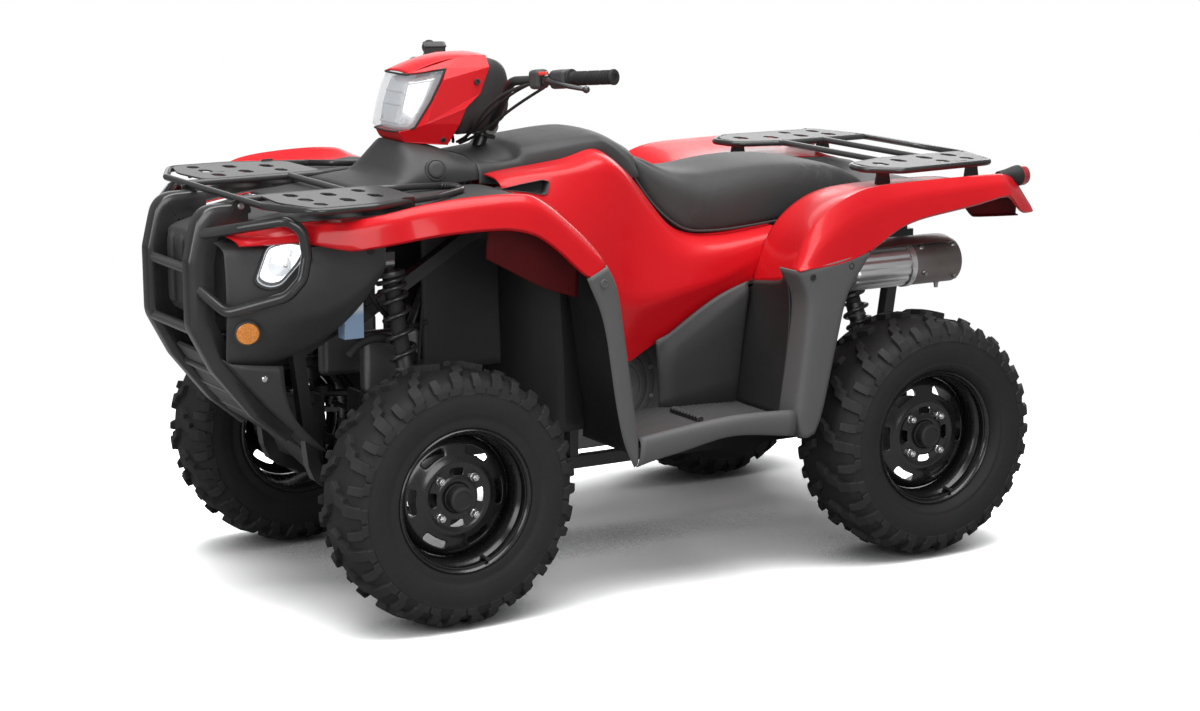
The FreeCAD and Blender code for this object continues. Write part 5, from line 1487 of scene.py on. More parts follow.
for piece, finish, nodes in ((bezel, WELL, ()), (glass, CLEAR, ("headlamps",)),
                             (bowl, BRIGHT_MIRROR, ()), (ribs, WELL, ())):
    fasten(both_sides(piece), finish, nodes)
reflector_axis = Vector((0.30, 0.93, 0.05)).normalized()
bulb = turned("headlamp_bulb",
              [(-26, 9), (-22, 11), (-10, 11), (-8, 7), (4, 6.5), (8, 3.5), (8.5, 0.1)],
              lamp_point(894, 836, 18), reflector_axis, 32)
projector = turned("headlamp_projector",
                   [(-24, 27), (-10, 30), (-2, 29), (2, 26), (4, 18), (5, 0.1)],
                   lamp_point(906, 838, 16), reflector_axis, 40)
for piece, finish in ((bulb, CHROME), (projector, BRIGHT_MIRROR)):
    fasten(both_sides(piece), finish)

# %% Reflectors and push pins
side_way = Vector((0.30, 0.92, -0.22)).normalized()
amber_rim = turned("side_reflector_rim", [(-4, 30), (3.5, 30), (5, 28.5), (5, 26.5), (2, 26)],
                   (974, 240, 685), side_way, 48)
amber = turned("side_reflector", [(0, 26.5), (4, 26), (5.5, 24), (6.4, 12), (6.6, 0.1)],
               (974, 240, 685), side_way, 48)
for piece, finish in ((amber_rim, DARK), (amber, AMBER)):
    fasten(both_sides(piece), finish)


def push_pin(name, place, way, finish=WELL, radius=8.5):
    """Plastic rivet: a flat rim with a recessed button."""
    fasten(both_sides(turned(name,
                             [(-2, radius), (1.6, radius), (2.6, radius * 0.9),
                              (2.6, radius * 0.66), (1.2, radius * 0.6), (1.4, radius * 0.3),
                              (1.5, 0.1)], place, way, 28)), finish)


for index, (place, way) in enumerate((
        ((845, 304, 850), (0.1, 1, 0.1)), ((694, 307, 858), (0, 1, 0.05)))):
    push_pin("cheek_pin_%d" % index, place, way)
print("Nose pieces ready")

# %% Lower shell under the nose
SHELL_ROWS = [
    [(1004, 108, 612), (1000, 150, 614), (992, 184, 606), (930, 197, 598), (872, 200, 592)],
    [(960, 104, 560), (956, 148, 562), (948, 184, 552), (905, 198, 538), (868, 200, 524)],
    [(905, 102, 496), (900, 146, 500), (892, 180, 492), (868, 193, 478), (850, 195, 468)],
    [(850, 100, 436), (846, 136, 440), (838, 170, 436), (822, 182, 428), (806, 184, 422)],
    [(786, 98, 376), (782, 118, 382), (772, 146, 378), (758, 154, 372), (744, 155, 366)]]
wide_panel("nose_lower_shell", SHELL_ROWS, {2: 0.75, 0: 1, 4: 1}, {0: 1, 4: 1}, DARK, wall=3)
for index in range(3):
    x, z = 968 - index * 16, 552 - index * 22
    slot_ring = [(x, 128, z), (x - 2, 150, z + 1), (x - 10, 150, z - 9), (x - 9, 128, z - 10)]
    made = solid_mesh("nose_louvre_%d" % index,
                      [(a + 4, b, c + 2)
                       for a, b, c in slot_ring] + [(a - 3, b, c - 1) for a, b, c in slot_ring],
                      [(0, 1, 2, 3), (4, 5, 6, 7), (0, 1, 5, 4), (1, 2, 6, 5), (2, 3, 7, 6),
                       (3, 0, 4, 7)])
    round_edges(made, 1.2)
    fasten(both_sides(made), WELL)
fasten(both_sides(turned("nose_screw",
                         [(0, 0.1), (0, 8), (2.5, 8), (4.5, 6), (5, 3.5), (3.2, 3), (3.2, 0.1)],
                         (916, 198, 566), (0.2, 0.95, -0.1), 24)), CHROME)

# %% [markdown]
# ## Mudguards and floorboard
# Each footwell is one big moulding: a nearly black wall ahead of the foot, a paler grey strip
# that wraps its outer edge, a floorboard with a raised rim, and a second wall behind. The wall
# and the strip are separate skins, because they differ in colour and grain. The floor has rows
# of small diamonds for grip, made by pressing a fine grid up and down.

# %% Front mudguard
FRONT_LINE = [(206, 817), (178, 772), (168, 706), (159, 647), (148, 570), (137, 492), (128, 440),
              (121, 396), (124, 352)]
FRONT_EDGE = [(264, 790), (247, 752), (227, 713), (212, 650), (204, 600), (190, 500), (176, 430),
              (164, 381), (138, 330)]


def guard_rows(line, edge, wall_y=500, flank_y=549):
    """Rows from the wall round the corner to the flank's free edge."""
    rows = []
    for (x, z), (u, w) in zip(line, edge):
        way = Vector((u - x, 0, w - z)).normalized()
        rows.append([(x, wall_y, z), (x, flank_y - 30, z),
                     (x + way.x * 3, flank_y - 7, z + way.z * 3),
                     (x + way.x * 12, flank_y, z + way.z * 12),
                     ((x + u) / 2, flank_y + 1, (z + w) / 2),
                     (u - way.x * 7, flank_y, w - way.z * 7), (u, flank_y - 6, w)])
    return rows


wide_panel("front_mudguard_edge", guard_rows(FRONT_LINE, FRONT_EDGE),
           {0: 1, 2: 0.35, 5: 0.5, 6: 1}, {0: 1, 8: 1}, GUARD)

wall_rows = [[(x - 4, y, z) for y in (277, 300, 360, 430, 480, 506)] for x, z in FRONT_LINE]
WALL_BULGE = 9
for row in wall_rows[2:6]:
    row[2:4] = [(x + WALL_BULGE, y, z) for x, y, z in row[2:4]]
wide_panel("front_mudguard_wall", wall_rows, {0: 1, 5: 1, 1: 0.4}, {0: 1, 8: 1}, WELL,
           nodes=("footwell_left", "footwell_right"))

# %% Liner between mudguard and engine
LINER_PLAN = ((192, 298), (218, 268), (246, 230), (260, 180), (264, 120), (263, 60))
liner_rows = [[(wall_x, 281, z)] + [(x - (6 if z < 600 else 0), y, z) for x, y in LINER_PLAN]
              for z, wall_x in ((372, 117), (450, 126), (560, 142), (660, 157), (740, 171),
                                (790, 186), (830, 206))]
side_cover = [[(x, y, z) for z in (930, 840, 700, 590, 520)] for x, y in
              ((256, 118), (300, 113), (360, 111), (420, 110), (466, 104))]
wide_panel("arch_side_cover", side_cover, {0: 1, 4: 1}, {0: 1, 4: 1}, WELL, wall=3)
wide_panel("arch_liner_dark", liner_rows, {0: 1, 6: 1, 2: 0.5, 4: 0.3}, {0: 1, 6: 1}, WELL, wall=3)

# %% Rear mudguard
REAR_LINE = [(-318, 756), (-348, 700), (-352, 657), (-340, 560), (-322, 439), (-314, 392),
             (-336, 345)]
REAR_EDGE = [(-532, 786), (-496, 738), (-458, 690), (-440, 606), (-410, 480), (-392, 395),
             (-370, 352)]
rear_guard_rows = []
for (x, z), (u, w) in zip(REAR_LINE, REAR_EDGE):
    rear_guard_rows.append([(x, 470, z), (x, 520, z), (x - 3, 543, z), (x - 12, 550, z),
                            ((x + u) / 2, 551, (z + w) / 2), (u + 8, 550, w), (u, 544, w)])
wide_panel("rear_mudguard_edge", rear_guard_rows, {0: 1, 2: 0.35, 5: 0.5, 6: 1}, {0: 1, 6: 1},
           GUARD)
rear_wall_rows = [[(-374, 277, 688), (-370, 300, 693), (-364, 350, 700), (-356, 420, 710),
                   (-338, 460, 730), (-326, 480, 745)],
                  [(-364, 277, 650), (-363, 300, 652), (-362, 350, 656), (-358, 420, 662),
                   (-352, 460, 672), (-348, 480, 690)]]
rear_wall_rows += [[(x, y, z) for y in (277, 300, 350, 420, 460, 480)] for x, z in REAR_LINE[3:6]]
wide_panel("rear_mudguard_wall", rear_wall_rows, {0: 1, 5: 1, 1: 0.4}, {0: 1, 4: 1}, WELL)
for index, (x, z) in enumerate(((-358, 738), (-470, 756))):
    push_pin("rear_guard_pin_%d" % index, (x, 552, z), (0, 1, 0.05))
push_pin("front_guard_pin", (222, 551, 776), (0, 1, 0.05), GUARD, 10)

# %% Inner wall beside the engine
inner_rows = [
    [(-84, 279, 566), (-86, 284, 480), (-88, 286, 392)],
    [(-120, 280, 580), (-120, 296, 540), (-112, 298, 392)],
    [(-190, 280, 624), (-190, 300, 576), (-190, 300, 392)],
    [(-252, 280, 658), (-252, 301, 616), (-252, 300, 392)],
    [(-300, 279, 676), (-300, 300, 640), (-298, 299, 392)],
    [(-352, 278, 690), (-346, 292, 668), (-312, 292, 392)]]
wide_panel("inner_well_panel", inner_rows, {0: 1, 1: 0.7, 2: 1}, {0: 1, 5: 1, 1: 0.6}, COVER,
           wall=3)

# %% Floorboard
def diamond_floor():
    """Fine grid whose points rise in small diamonds."""
    points = []
    nx, ny = 170, 100
    for i in range(nx + 1):
        for j in range(ny + 1):
            x, y = 116 - 424 * i / nx, 280 + 246 * j / ny
            a, b = (x + y) / 15, (x - y) / 15
            lift = 2.6 * max(0, 1 - 2.6 * abs(a - round(a))) * max(0, 1 - 1.1 * abs(b - round(b)))
            points.append((x, y, 391 + 8 * (1 - ((x + 96) / 212) ** 2) + lift))
    made = solid_mesh("floorboard_tread", points, grid_faces(nx + 1, ny + 1, False), 50)
    fasten(both_sides(made), DARK)


diamond_floor()
RIM_TOP = [(121, 397), (52, 404), (-42, 414), (-144, 421), (-230, 419), (-318, 414)]
RIM_LOW = [(127, 328), (75, 340), (-20, 352), (-121, 375), (-210, 366), (-312, 350)]
rim_rows = []
for (x, z), (u, w) in zip(RIM_TOP, RIM_LOW):
    rim_rows.append([(x, 512, 392), (x, 519, z - 3), (x, 526, z), (x, 538, z), (x, 548, z - 7),
                     ((x + u) / 2, 551, (z + w) / 2), (u, 546, w + 3), (u, 536, w)])
wide_panel("floorboard_rim", rim_rows, {0: 1, 3: 0.2, 7: 1}, {0: 1, 5: 1}, GUARD)

# %% Toothed foot peg
peg_points, peg_faces = [], []
for index in range(19):
    y = 345 + index * 7
    lift = 4 if index % 2 else 0
    first = len(peg_points)
    peg_points += [(-100, y, 400), (-100, y, 408 + lift), (-96, y, 411 + lift),
                   (-86, y, 411 + lift), (-82, y, 408 + lift), (-82, y, 400)]
    if index:
        peg_faces += [(first - 6 + k, first + k, first + (k + 1) % 6, first - 6 + (k + 1) % 6)
                      for k in range(6)]
peg_faces += [tuple(range(6)), tuple(range(len(peg_points) - 6, len(peg_points)))]
peg = solid_mesh("foot_peg", peg_points, peg_faces, 25)
round_edges(peg, 0.9, 1)
fasten(both_sides(peg), WELL)
print("Footwell pieces ready")

# %% [markdown]
# ## Head pod
# The pod turns with the handlebar. Its red cowl is creased like folded paper, with a tall clear
# lamp in front and a dark shell behind that holds the meter. Each side of the cowl is a folded
# sheet of flat facets between named corners, rounded a little along every fold, and its top and
# chin are skins through cross rows.

# %% Cowl
COWL_CORNERS = {
    "brow": (470, 58, 1230), "brow_tip": (446, 74, 1233), "lamp_top": (377, 79, 1240),
    "ridge": (330, 66, 1266),
    "rear_top": (268, 74, 1264), "rear_crease": (270, 96, 1238), "rear_middle": (299, 102, 1176),
    "fold_rear": (338, 104, 1145), "fold_low": (352, 98, 1107), "foot_rear": (379, 86, 1058),
    "foot_front": (482, 60, 1068), "lamp_foot": (498, 66, 1094), "lamp_low": (462, 77, 1101),
    "fold_front": (440, 89, 1110), "lamp_middle": (408, 84, 1180), "side_front": (392, 92, 1212)}
COWL_FACETS = [
    ("brow", "brow_tip", "lamp_top", "ridge"), ("ridge", "lamp_top", "rear_crease", "rear_top"),
    ("lamp_top", "side_front", "rear_crease"),
    ("side_front", "lamp_middle", "fold_front", "rear_middle", "rear_crease"),
    ("rear_middle", "fold_front", "fold_rear"), ("fold_rear", "fold_front", "fold_low"),
    ("fold_front", "foot_front", "foot_rear", "fold_low"),
    ("lamp_low", "lamp_foot", "foot_front", "fold_front"),
    ("lamp_middle", "lamp_low", "fold_front"), ("lamp_top", "lamp_middle", "side_front")]


def facet_shell(name, corners, facets, side, wall=3):
    """Folded sheet from named corners, with a small round along every fold."""
    names = list(corners)
    points = [(x, side * y, z) for x, y, z in corners.values()]
    made = solid_mesh(name, points,
                      [tuple(names.index(corner) for corner in facet) for facet in facets], 12)
    middle = sum((v.co for v in made.data.vertices), Vector()) / len(made.data.vertices)
    outward = sum((face.center - Vector((middle.x, 0, middle.z))).dot(face.normal)
                  for face in made.data.polygons)
    thick = made.modifiers.new("wall", "SOLIDIFY")
    thick.thickness, thick.offset = wall * MM, -1 if outward > 0 else 1
    round_edges(made, 2.2, 3, 8)
    return made


for hand, side in HANDS:
    made = facet_shell("cowl_side_" + hand, COWL_CORNERS, COWL_FACETS, side)
    fasten(made, RED, ("head_cowl",) if side > 0 else (), body="steering")
top_rows = [[(x, y * w, z + d) for y, d in ((1, 0), (0.55, 3), (0, 4), (-0.55, 3), (-1, 0))]
            for x, z, w in ((470, 1230, 58), (432, 1243, 60), (390, 1256, 62), (330, 1266, 66),
                            (268, 1264, 74))]
fasten(skin("cowl_top", top_rows, -3, 2, {0: 1, 4: 1}, {0: 1, 4: 1}), RED, body="steering")
chin_rows = [[(x, y * w, z) for y in (1, 0.5, 0, -0.5, -1)]
             for x, z, w in ((498, 1094, 66), (490, 1072, 62), (482, 1067, 60), (430, 1061, 74),
                             (379, 1057, 86))]
fasten(skin("cowl_chin", chin_rows, 3, 2, {0: 1, 4: 1}, {0: 1, 2: 0.7, 4: 1}), RED,
       body="steering")


# %% Pod lamp
POD_LAMP = [((380, 80, 1238), (474, 55, 1227), (477, 20, 1227)),
            ((396, 83, 1208), (487, 60, 1194), (491, 22, 1193)),
            ((421, 83, 1164), (498, 62, 1156), (502, 22, 1155)),
            ((462, 77, 1103), (511, 57, 1104), (515, 20, 1103)),
            ((473, 70, 1097), (506, 52, 1094), (509, 19, 1093))]


def lamp_rows(shrink=1.0, back=0.0):
    """Rows across the lamp, drawn in towards its middle and pushed back."""
    rows = []
    for row in POD_LAMP:
        half = [(478 + (x - 478) * shrink - back, y * shrink,
                 1160 + (z - 1160) * shrink - back * 0.3) for x, y, z in row]
        rows.append(half + [(x, -y, z) for x, y, z in half[::-1]])
    return rows


fasten(skin("pod_lamp_lens", lamp_rows(), 2, 2, {0: 1, 5: 1, 1: 0.5, 4: 0.5},
            {0: 1, 4: 1, 3: 0.6}), CLEAR, ("head_lamp",), body="steering")
fasten(skin("pod_lamp_bowl", lamp_rows(0.90, 16), 2, 1, {0: 1, 5: 1, 1: 1, 4: 1},
            {0: 1, 4: 1, 2: 1}), MIRROR, body="steering")
edge_line = lamp_rows()
boundary = (edge_line[0] + [row[-1] for row in edge_line[1:]] + edge_line[-1][-2::-1]
            + [row[0] for row in edge_line[-2:0:-1]])
step_rows = lamp_rows(0.80, 10)
for index, row in enumerate(step_rows[1:4]):
    fasten(bar("pod_lamp_fold_%d" % index, row, 1.6, 4, steps=2, sides=2), CHROME, body="steering")
for index, y in enumerate((-36, 0, 36)):
    fasten(bar("pod_lamp_post_%d" % index,
               [(row[2][0] - 10, y, row[2][2]) for row in step_rows[::2]], 2.2, 10, steps=3,
               sides=2), FRAME_BLACK if y else CHROME, body="steering")
fasten(bar("pod_lamp_rim", boundary + boundary[:1], 2.4, 6, ends=False, steps=2, sides=3), WELL,
       body="steering")
fasten(turned("pod_lamp_bulb", [(-16, 16), (-8, 19), (0, 18), (3, 13), (5, 0.1)], (455, 0, 1150),
              (0.83, 0, 0.55), 32), CHROME, body="steering")

# %% Dark shell and meter
SHELL_BACK = [mirrored_row(x, half) for x, half in (
    (340, [(60, 1076), (82, 1114), (86, 1150), (84, 1190), (76, 1225), (60, 1250), (0, 1254)]),
    (296, [(56, 1076), (84, 1100), (92, 1150), (90, 1205), (84, 1244), (66, 1258), (0, 1261)]),
    (262, [(50, 1082), (84, 1104), (90, 1146), (90, 1204), (88, 1242), (72, 1259), (0, 1262)]),
    (232, [(44, 1090), (70, 1108), (78, 1140), (80, 1196), (78, 1232), (66, 1250), (0, 1254)]),
    (206, [(38, 1100), (58, 1116), (66, 1136), (68, 1180), (66, 1212), (56, 1230), (0, 1236)]),
    (196, [(32, 1110), (46, 1122), (52, 1136), (54, 1170), (52, 1194), (44, 1208), (0, 1212)]))]
fasten(closed_loft("pod_back_shell", SHELL_BACK, 2, {0: 1, 5: 0.7},
                   {0: 0.8, 12: 0.8, 5: 0.6, 7: 0.6}), DARK, ("meter_cowl",), body="steering")
fasten(ringed("meter_glass",
              [[(x + back, y * s, z)
                for x, y, z in ((199, -40, 1216), (193, -46, 1180), (192, -40, 1144),
                                (192, 40, 1144), (193, 46, 1180), (199, 40, 1216))]
               for s, back in ((1, 6), (1, 2), (0.94, 0), (0.5, -0.5))], True, 40), WELL,
       body="steering")
for hand, side in HANDS:
    fasten(turned("cowl_screw_" + hand,
                  [(-2, 7.5), (1.5, 7.5), (2.5, 6.5), (2.5, 4), (1, 3.6), (1, 0.1)],
                  (306, side * 101, 1205), (0.05, side, 0.2), 24), WELL, body="steering")
    fasten(turned("cowl_low_screw_" + hand,
                  [(-2, 7), (1.5, 7), (2.5, 6), (2.5, 4), (1, 3.6), (1, 0.1)],
                  (392, side * 86, 1070), (0, side, -0.3), 24), WELL, body="steering")
print("Pod pieces ready")

# %% [markdown]
# ## Handlebar, grips and controls
# The bar is a bent tube. Each grip is turned rubber with three groups of ribs and a flange. The
# left box carries the switches and a ball-ended brake lever; the right one has the brake
# reservoir on top. Cables leave both boxes, follow the bar and drop to the steering head.

# %% Bar and grips
BAR_PATH = [(146, -465, 1238), (262, -190, 1212), (246, -62, 1090), (246, 62, 1090),
            (262, 190, 1212), (146, 465, 1238)]
fasten(bar("handlebar_tube", BAR_PATH, 11, 42, steps=8, sides=6), FRAME_BLACK, ("handlebar",),
       body="steering")
TIP = Vector(BAR_PATH[-1])
BEND = Vector(BAR_PATH[-2])
BAR_WAY = (TIP - BEND).normalized()
BAR_AHEAD = BAR_WAY.cross(Vector((0, 0, 1))).normalized()
GRIP_END = TIP + BAR_WAY * 6
GRIP_START = GRIP_END - BAR_WAY * 128


def mirrored_way(way, side):
    """A direction or place of the left half, on the chosen side."""
    return Vector((way.x, side * way.y, way.z))


def grip_profile():
    """Flange, three ribbed stretches with plain bands between, and a rounded end."""
    line = [(0, 11.5), (0, 22.5), (2, 23), (5, 22.5), (7, 17), (12, 16)]
    for start in (16, 52, 88):
        for index in range(7):
            at = start + index * 4.2
            line += [(at, 15.6), (at + 0.8, 17), (at + 2.8, 17), (at + 3.6, 15.6)]
    return line + [(119, 16.2), (121, 18.6), (126, 18.6), (128, 17), (128.3, 8), (126, 7),
                   (126, 0.1)]


for hand, side in HANDS:
    way, start = mirrored_way(BAR_WAY, side), mirrored_way(GRIP_START, side)
    made = turned("grip_" + hand, grip_profile(), start, way, 36, sharp=25)
    fasten(made, GRIP, ("grips",) if side > 0 else (), body="steering")
    fasten(turned("bar_clamp_" + hand,
                  [(-13, 11.3), (-13, 19), (-11, 20.5), (11, 20.5), (13, 19), (13, 11.3)],
                  (246, side * 44, 1090), (0, 1, 0), 40), CAST, body="steering")
    for offset in (-14, 14):
        fasten(turned("clamp_bolt_%s_%s" % (hand, "a" if offset < 0 else "b"),
                      [(0, 0.1), (0, 5), (6, 5), (6, 2.6), (3, 2.4), (3, 0.1)],
                      (246 + offset, side * 44, 1104), (0.1, 0, 1), 6), STEEL, body="steering")


# %% Control boxes
def block(name, origin, along, ahead, up_way, size, edge):
    """Rounded box drawn along the bar."""
    a, f, u = (Vector(v).normalized() for v in (along, ahead, up_way))
    la, lf, lu = (length / 2 for length in size)
    points = [Vector(origin) + a * (i * la) + f * (j * lf) + u * (k * lu)
              for i in (-1, 1) for j in (-1, 1) for k in (-1, 1)]
    faces = [(0, 1, 3, 2), (4, 6, 7, 5), (0, 4, 5, 1), (2, 3, 7, 6), (0, 2, 6, 4), (1, 5, 7, 3)]
    return round_edges(solid_mesh(name, points, faces), edge, 3, 30)


for hand, side in HANDS:
    way, ahead = mirrored_way(BAR_WAY, side), mirrored_way(BAR_AHEAD, side)
    if ahead.x < 0:
        ahead = -ahead
    start = mirrored_way(GRIP_START, side)
    up_way = way.cross(ahead)
    if up_way.z < 0:
        up_way = -up_way
    fasten(block("switch_case_" + hand, start - way * 26, way, ahead, up_way, (46, 46, 44), 9),
           DARK, ("handlebar_controls",) if side > 0 else (), body="steering")
    fasten(turned("switch_collar_" + hand,
                  [(-56, 11.5), (-56, 17), (-48, 19), (-4, 19), (-1, 17), (-1, 11.5)], start, way,
                  36), DARK, body="steering")
    fasten(block("lever_perch_" + hand, start - way * 60 + ahead * 6, way, ahead, up_way,
                 (18, 40, 26), 6), FRAME_BLACK, body="steering")
    fasten(turned("perch_bolt_" + hand, [(0, 0.1), (0, 6), (5, 6), (5, 3), (2.5, 2.6), (2.5, 0.1)],
                  start - way * 54 + ahead * 22 + up_way * 10, up_way, 20), STEEL, body="steering")
    pivot = start - way * 54 + ahead * 20
    lever_line = [pivot, pivot + way * 16 + ahead * 18 - up_way * 2,
                  pivot + way * 50 + ahead * 34 - up_way * 8,
                  pivot + way * 95 + ahead * 30 - up_way * 16,
                  pivot + way * 128 + ahead * 22 - up_way * 24]
    lever = bar("brake_lever_" + hand, [tuple(p) for p in lever_line], 6.2, smooth=True, sides=5)
    lever.data.splines[0].points[0].radius = 1.5
    lever.data.splines[0].points[-1].radius = 0.8
    fasten(lever, TUBE_BLACK, body="steering")
    tip = lever_line[-1]
    fasten(turned("lever_ball_" + hand,
                  [(-8.5, 0.1), (-7.6, 4), (-5, 7), (0, 8.6), (5, 7), (7.6, 4), (8.5, 0.1)], tip,
                  way, 24, sharp=80), TUBE_BLACK, body="steering")
    if side > 0:
        fasten(block("switch_pod_left", start - way * 92 + ahead * 4 + up_way * 2, way, ahead,
                     up_way, (34, 44, 46), 10), DARK, body="steering")
        fasten(block("lock_button", start - way * 62 + ahead * 24 + up_way * 16, way, ahead,
                     up_way, (26, 10, 9), 3), SIGNAL_RED, body="steering")
        fasten(block("dimmer_switch", start - way * 26 - ahead * 22 + up_way * 8, way, ahead,
                     up_way, (16, 8, 10), 3), GRIP, body="steering")
    else:
        fasten(block("brake_reservoir", start - way * 40 - ahead * 2 + up_way * 16, way, ahead,
                     up_way, (56, 52, 46), 6), DARK, body="steering")
        fasten(block("brake_reservoir_lid", start - way * 40 - ahead * 2 + up_way * 35, way, ahead,
                     up_way, (60, 56, 5), 2), DARK, body="steering")
        fasten(bar("thumb_throttle",
                   [tuple(start - way * 20 + ahead * 20),
                    tuple(start - way * 8 - ahead * 4 - up_way * 26),
                    tuple(start + way * 6 - ahead * 14 - up_way * 30)], 5, smooth=True), GRIP,
               body="steering")
print("Controls on both sides")

# %% Cables at the bar
CABLES = {
    "brake_line_left": ([(228, 268, 1214), (262, 240, 1206), (300, 190, 1180), (316, 120, 1120),
                         (306, 60, 1075), (318, 26, 1052)], 4.2),
    "switch_lead_left": ([(214, 262, 1200), (232, 232, 1180), (262, 170, 1140), (276, 100, 1092),
                          (292, 50, 1066), (312, 18, 1050)], 3.6),
    "park_cable_left": ([(236, 246, 1210), (256, 214, 1196), (288, 150, 1150), (296, 84, 1096),
                         (300, 40, 1070), (316, 8, 1052)], 3.2),
    "throttle_cable_right": ([(222, -262, 1206), (246, -232, 1190), (286, -160, 1140),
                              (292, -90, 1090), (300, -40, 1066), (314, -14, 1050)], 3.8),
    "brake_line_right": ([(230, -270, 1222), (270, -236, 1208), (306, -180, 1170),
                          (312, -110, 1110), (306, -52, 1074), (320, -24, 1052)], 4.2),
}
for name, (points, radius) in CABLES.items():
    made = bar(name, points, radius, smooth=True, sides=3)
    fasten(made, GRIP, body="steering")
print("Cables:", len(CABLES))

# %% [markdown]
# ## Shock absorbers
# A shock is a damper tube inside a coil spring. The spring is one wire wound on a helix whose
# first and last turns lie closer together. A curve bevelled to the wire's radius makes it; the
# cups, rod and eyes are turned round the same axis.

# %% Springs and dampers
def helix(top, foot, start, stop, radius, turns, per_turn=20):
    """Wire of a coil spring between two distances along the axis."""
    way = (foot - top).normalized()
    first = way.cross(Vector((1, 0, 0))).normalized()
    second = way.cross(first)
    count = int(turns * per_turn)
    points = []
    for index in range(count + 1):
        turn = index / per_turn
        share = index / count
        eased = share - math.sin(2 * math.pi * share) * 0.09
        angle = 2 * math.pi * turn
        points.append(tuple(top + way * (start + (stop - start) * eased)
                            + (first * math.cos(angle) + second * math.sin(angle)) * radius))
    return points


DAMPER = bare_metal("damper_body", grey(0.05), grey(0.09), 0.38, 500)


def shock(place, top, foot):
    """Spring, damper, cups and eyes of one shock absorber."""
    top, foot = Vector(top), Vector(foot)
    way = (foot - top).normalized()
    span = (foot - top).length
    coil = line_through("spring_" + place, helix(top, foot, 40, span - 76, 30.5, 9.5))
    coil.bevel_depth, coil.bevel_resolution, coil.use_fill_caps = 5.6 * MM, 3, True
    fasten(new_object("spring_" + place, coil), TUBE_BLACK)
    outer = turned("damper_" + place,
                   [(span - 178, 0.1), (span - 178, 20), (span - 176, 22), (span - 96, 22),
                    (span - 92, 24), (span - 60, 24), (span - 56, 21), (span - 24, 21),
                    (span - 20, 12), (span, 9), (span, 0.1)], top, way, 36)
    fasten(outer, DAMPER)
    fasten(turned("damper_rod_" + place,
                  [(8, 0.1), (8, 12), (24, 13), (30, 19), (span - 178, 19), (span - 170, 8),
                   (span - 170, 0.1)], top, way, 28), GRIP)
    upper = turned("spring_cup_top_" + place,
                   [(24, 8), (24, 28), (27, 36), (34, 37), (38, 36), (38, 24), (34, 10)], top, way,
                   40)
    lower = turned("spring_cup_foot_" + place,
                   [(span - 74, 23), (span - 78, 34), (span - 74, 37), (span - 66, 37),
                    (span - 62, 34), (span - 56, 23)], top, way, 40)
    for piece in (upper, lower):
        fasten(piece, FRAME_BLACK)
    for index in range(3):
        ring = turned("damper_ring_%s_%d" % (place, index),
                      [(span - 150 + index * 18, 22), (span - 149 + index * 18, 23.4),
                       (span - 144 + index * 18, 23.4), (span - 143 + index * 18, 22)], top, way,
                      32)
        fasten(ring, GUARD)
    fasten(turned("shock_eye_" + place,
                  [(-13, 5), (-13, 12), (-11, 14), (11, 14), (13, 12), (13, 5)], top + way * 6,
                  (1, 0, 0), 28), STEEL)


SHOCKS = {"front_left": ((620, 238, 821.8), (577.5, 286, 425.8)),
          "rear_left": ((-690, 186, 748.6), (-717.5, 300, 427.4))}
for place, (top, foot) in SHOCKS.items():
    shock(place, top, foot)
    shock(place.replace("left", "right"), (top[0], -top[1], top[2]), (foot[0], -foot[1], foot[2]))
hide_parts("shocks")
print("Springs: 4, of 9.5 turns")

# %% [markdown]
# ## Muffler
# The front half of the muffler is a drawn silver shell with long flutes; the rear half is a
# heat-browned cap with a clamp band, and a curved shield sits over the top. Heat colours steel
# along its length, so that finish changes along X.

# %% Heat-coloured steel
def heat_steel():
    """Steel that has browned and blued towards its hot end."""
    made = Finish("heat_coloured_steel")
    along = made.node("ShaderNodeSeparateXYZ", None, {0: made.place()}, "X")
    mottle = made.noise(26, 5, 0.6)
    hot = made.ramp((along + 0.98) * -4 + 1.2 + mottle * 0.3, (0.2, 0), (0.9, 1))
    streak = made.noise(160, 4, 0.7)
    base = made.shade(mottle, (0.34, 0.32, 0.31), (0.46, 0.44, 0.43))
    made.set(Base_Color=made.tint(hot * 0.6, base, (0.10, 0.065, 0.055)),
             Metallic=0.85 - mottle * 0.2, Roughness=0.32 + streak * 0.24,
             Normal=made.bump(streak, 0.3, 0.15))
    return made.material


def shield_steel():
    """Painted heat shield, dark with a reddish bloom where it runs hottest."""
    made = Finish("heat_shield_steel", Coat_Roughness=0.2)
    mottle = made.noise(18, 4, 0.6)
    made.set(Base_Color=made.shade(mottle, (0.055, 0.030, 0.030), (0.16, 0.075, 0.07)),
             Metallic=0.35 + mottle * 0.2, Roughness=0.34 + made.noise(120, 4) * 0.2,
             Coat_Weight=0.25 + mottle * 0.1, Normal=made.bump(made.noise(300, 3), 0.2, 0.1))
    return made.material


HOT = heat_steel()
SHIELD = shield_steel()
BRIGHT = bare_metal("bright_shell", grey(0.82), grey(0.95), 0.30, 420)

# %% Muffler shells
MUFFLER = Vector((-620, 316, 700))
FLUTES = 14


def fluted(name, x0, x1, radius, depth):
    """Tube along X with flutes round it."""
    sectors = FLUTES * 8
    rows = []
    for x, shrink in ((x0, 0.90), (x0 - 4, 0.97), (x0 - 10, 1), (x1 + 8, 1), (x1 + 2, 0.98),
                      (x1, 0.93)):
        row = []
        for index in range(sectors):
            angle = 2 * math.pi * index / sectors
            wave = 0.5 - 0.5 * math.cos(angle * FLUTES)
            r = radius * shrink - depth * wave ** 3
            row.append((x, MUFFLER.y + r * math.sin(angle), MUFFLER.z + r * math.cos(angle)))
        rows.append(row)
    return ringed(name, rows, sharp=45, fill_first=True)


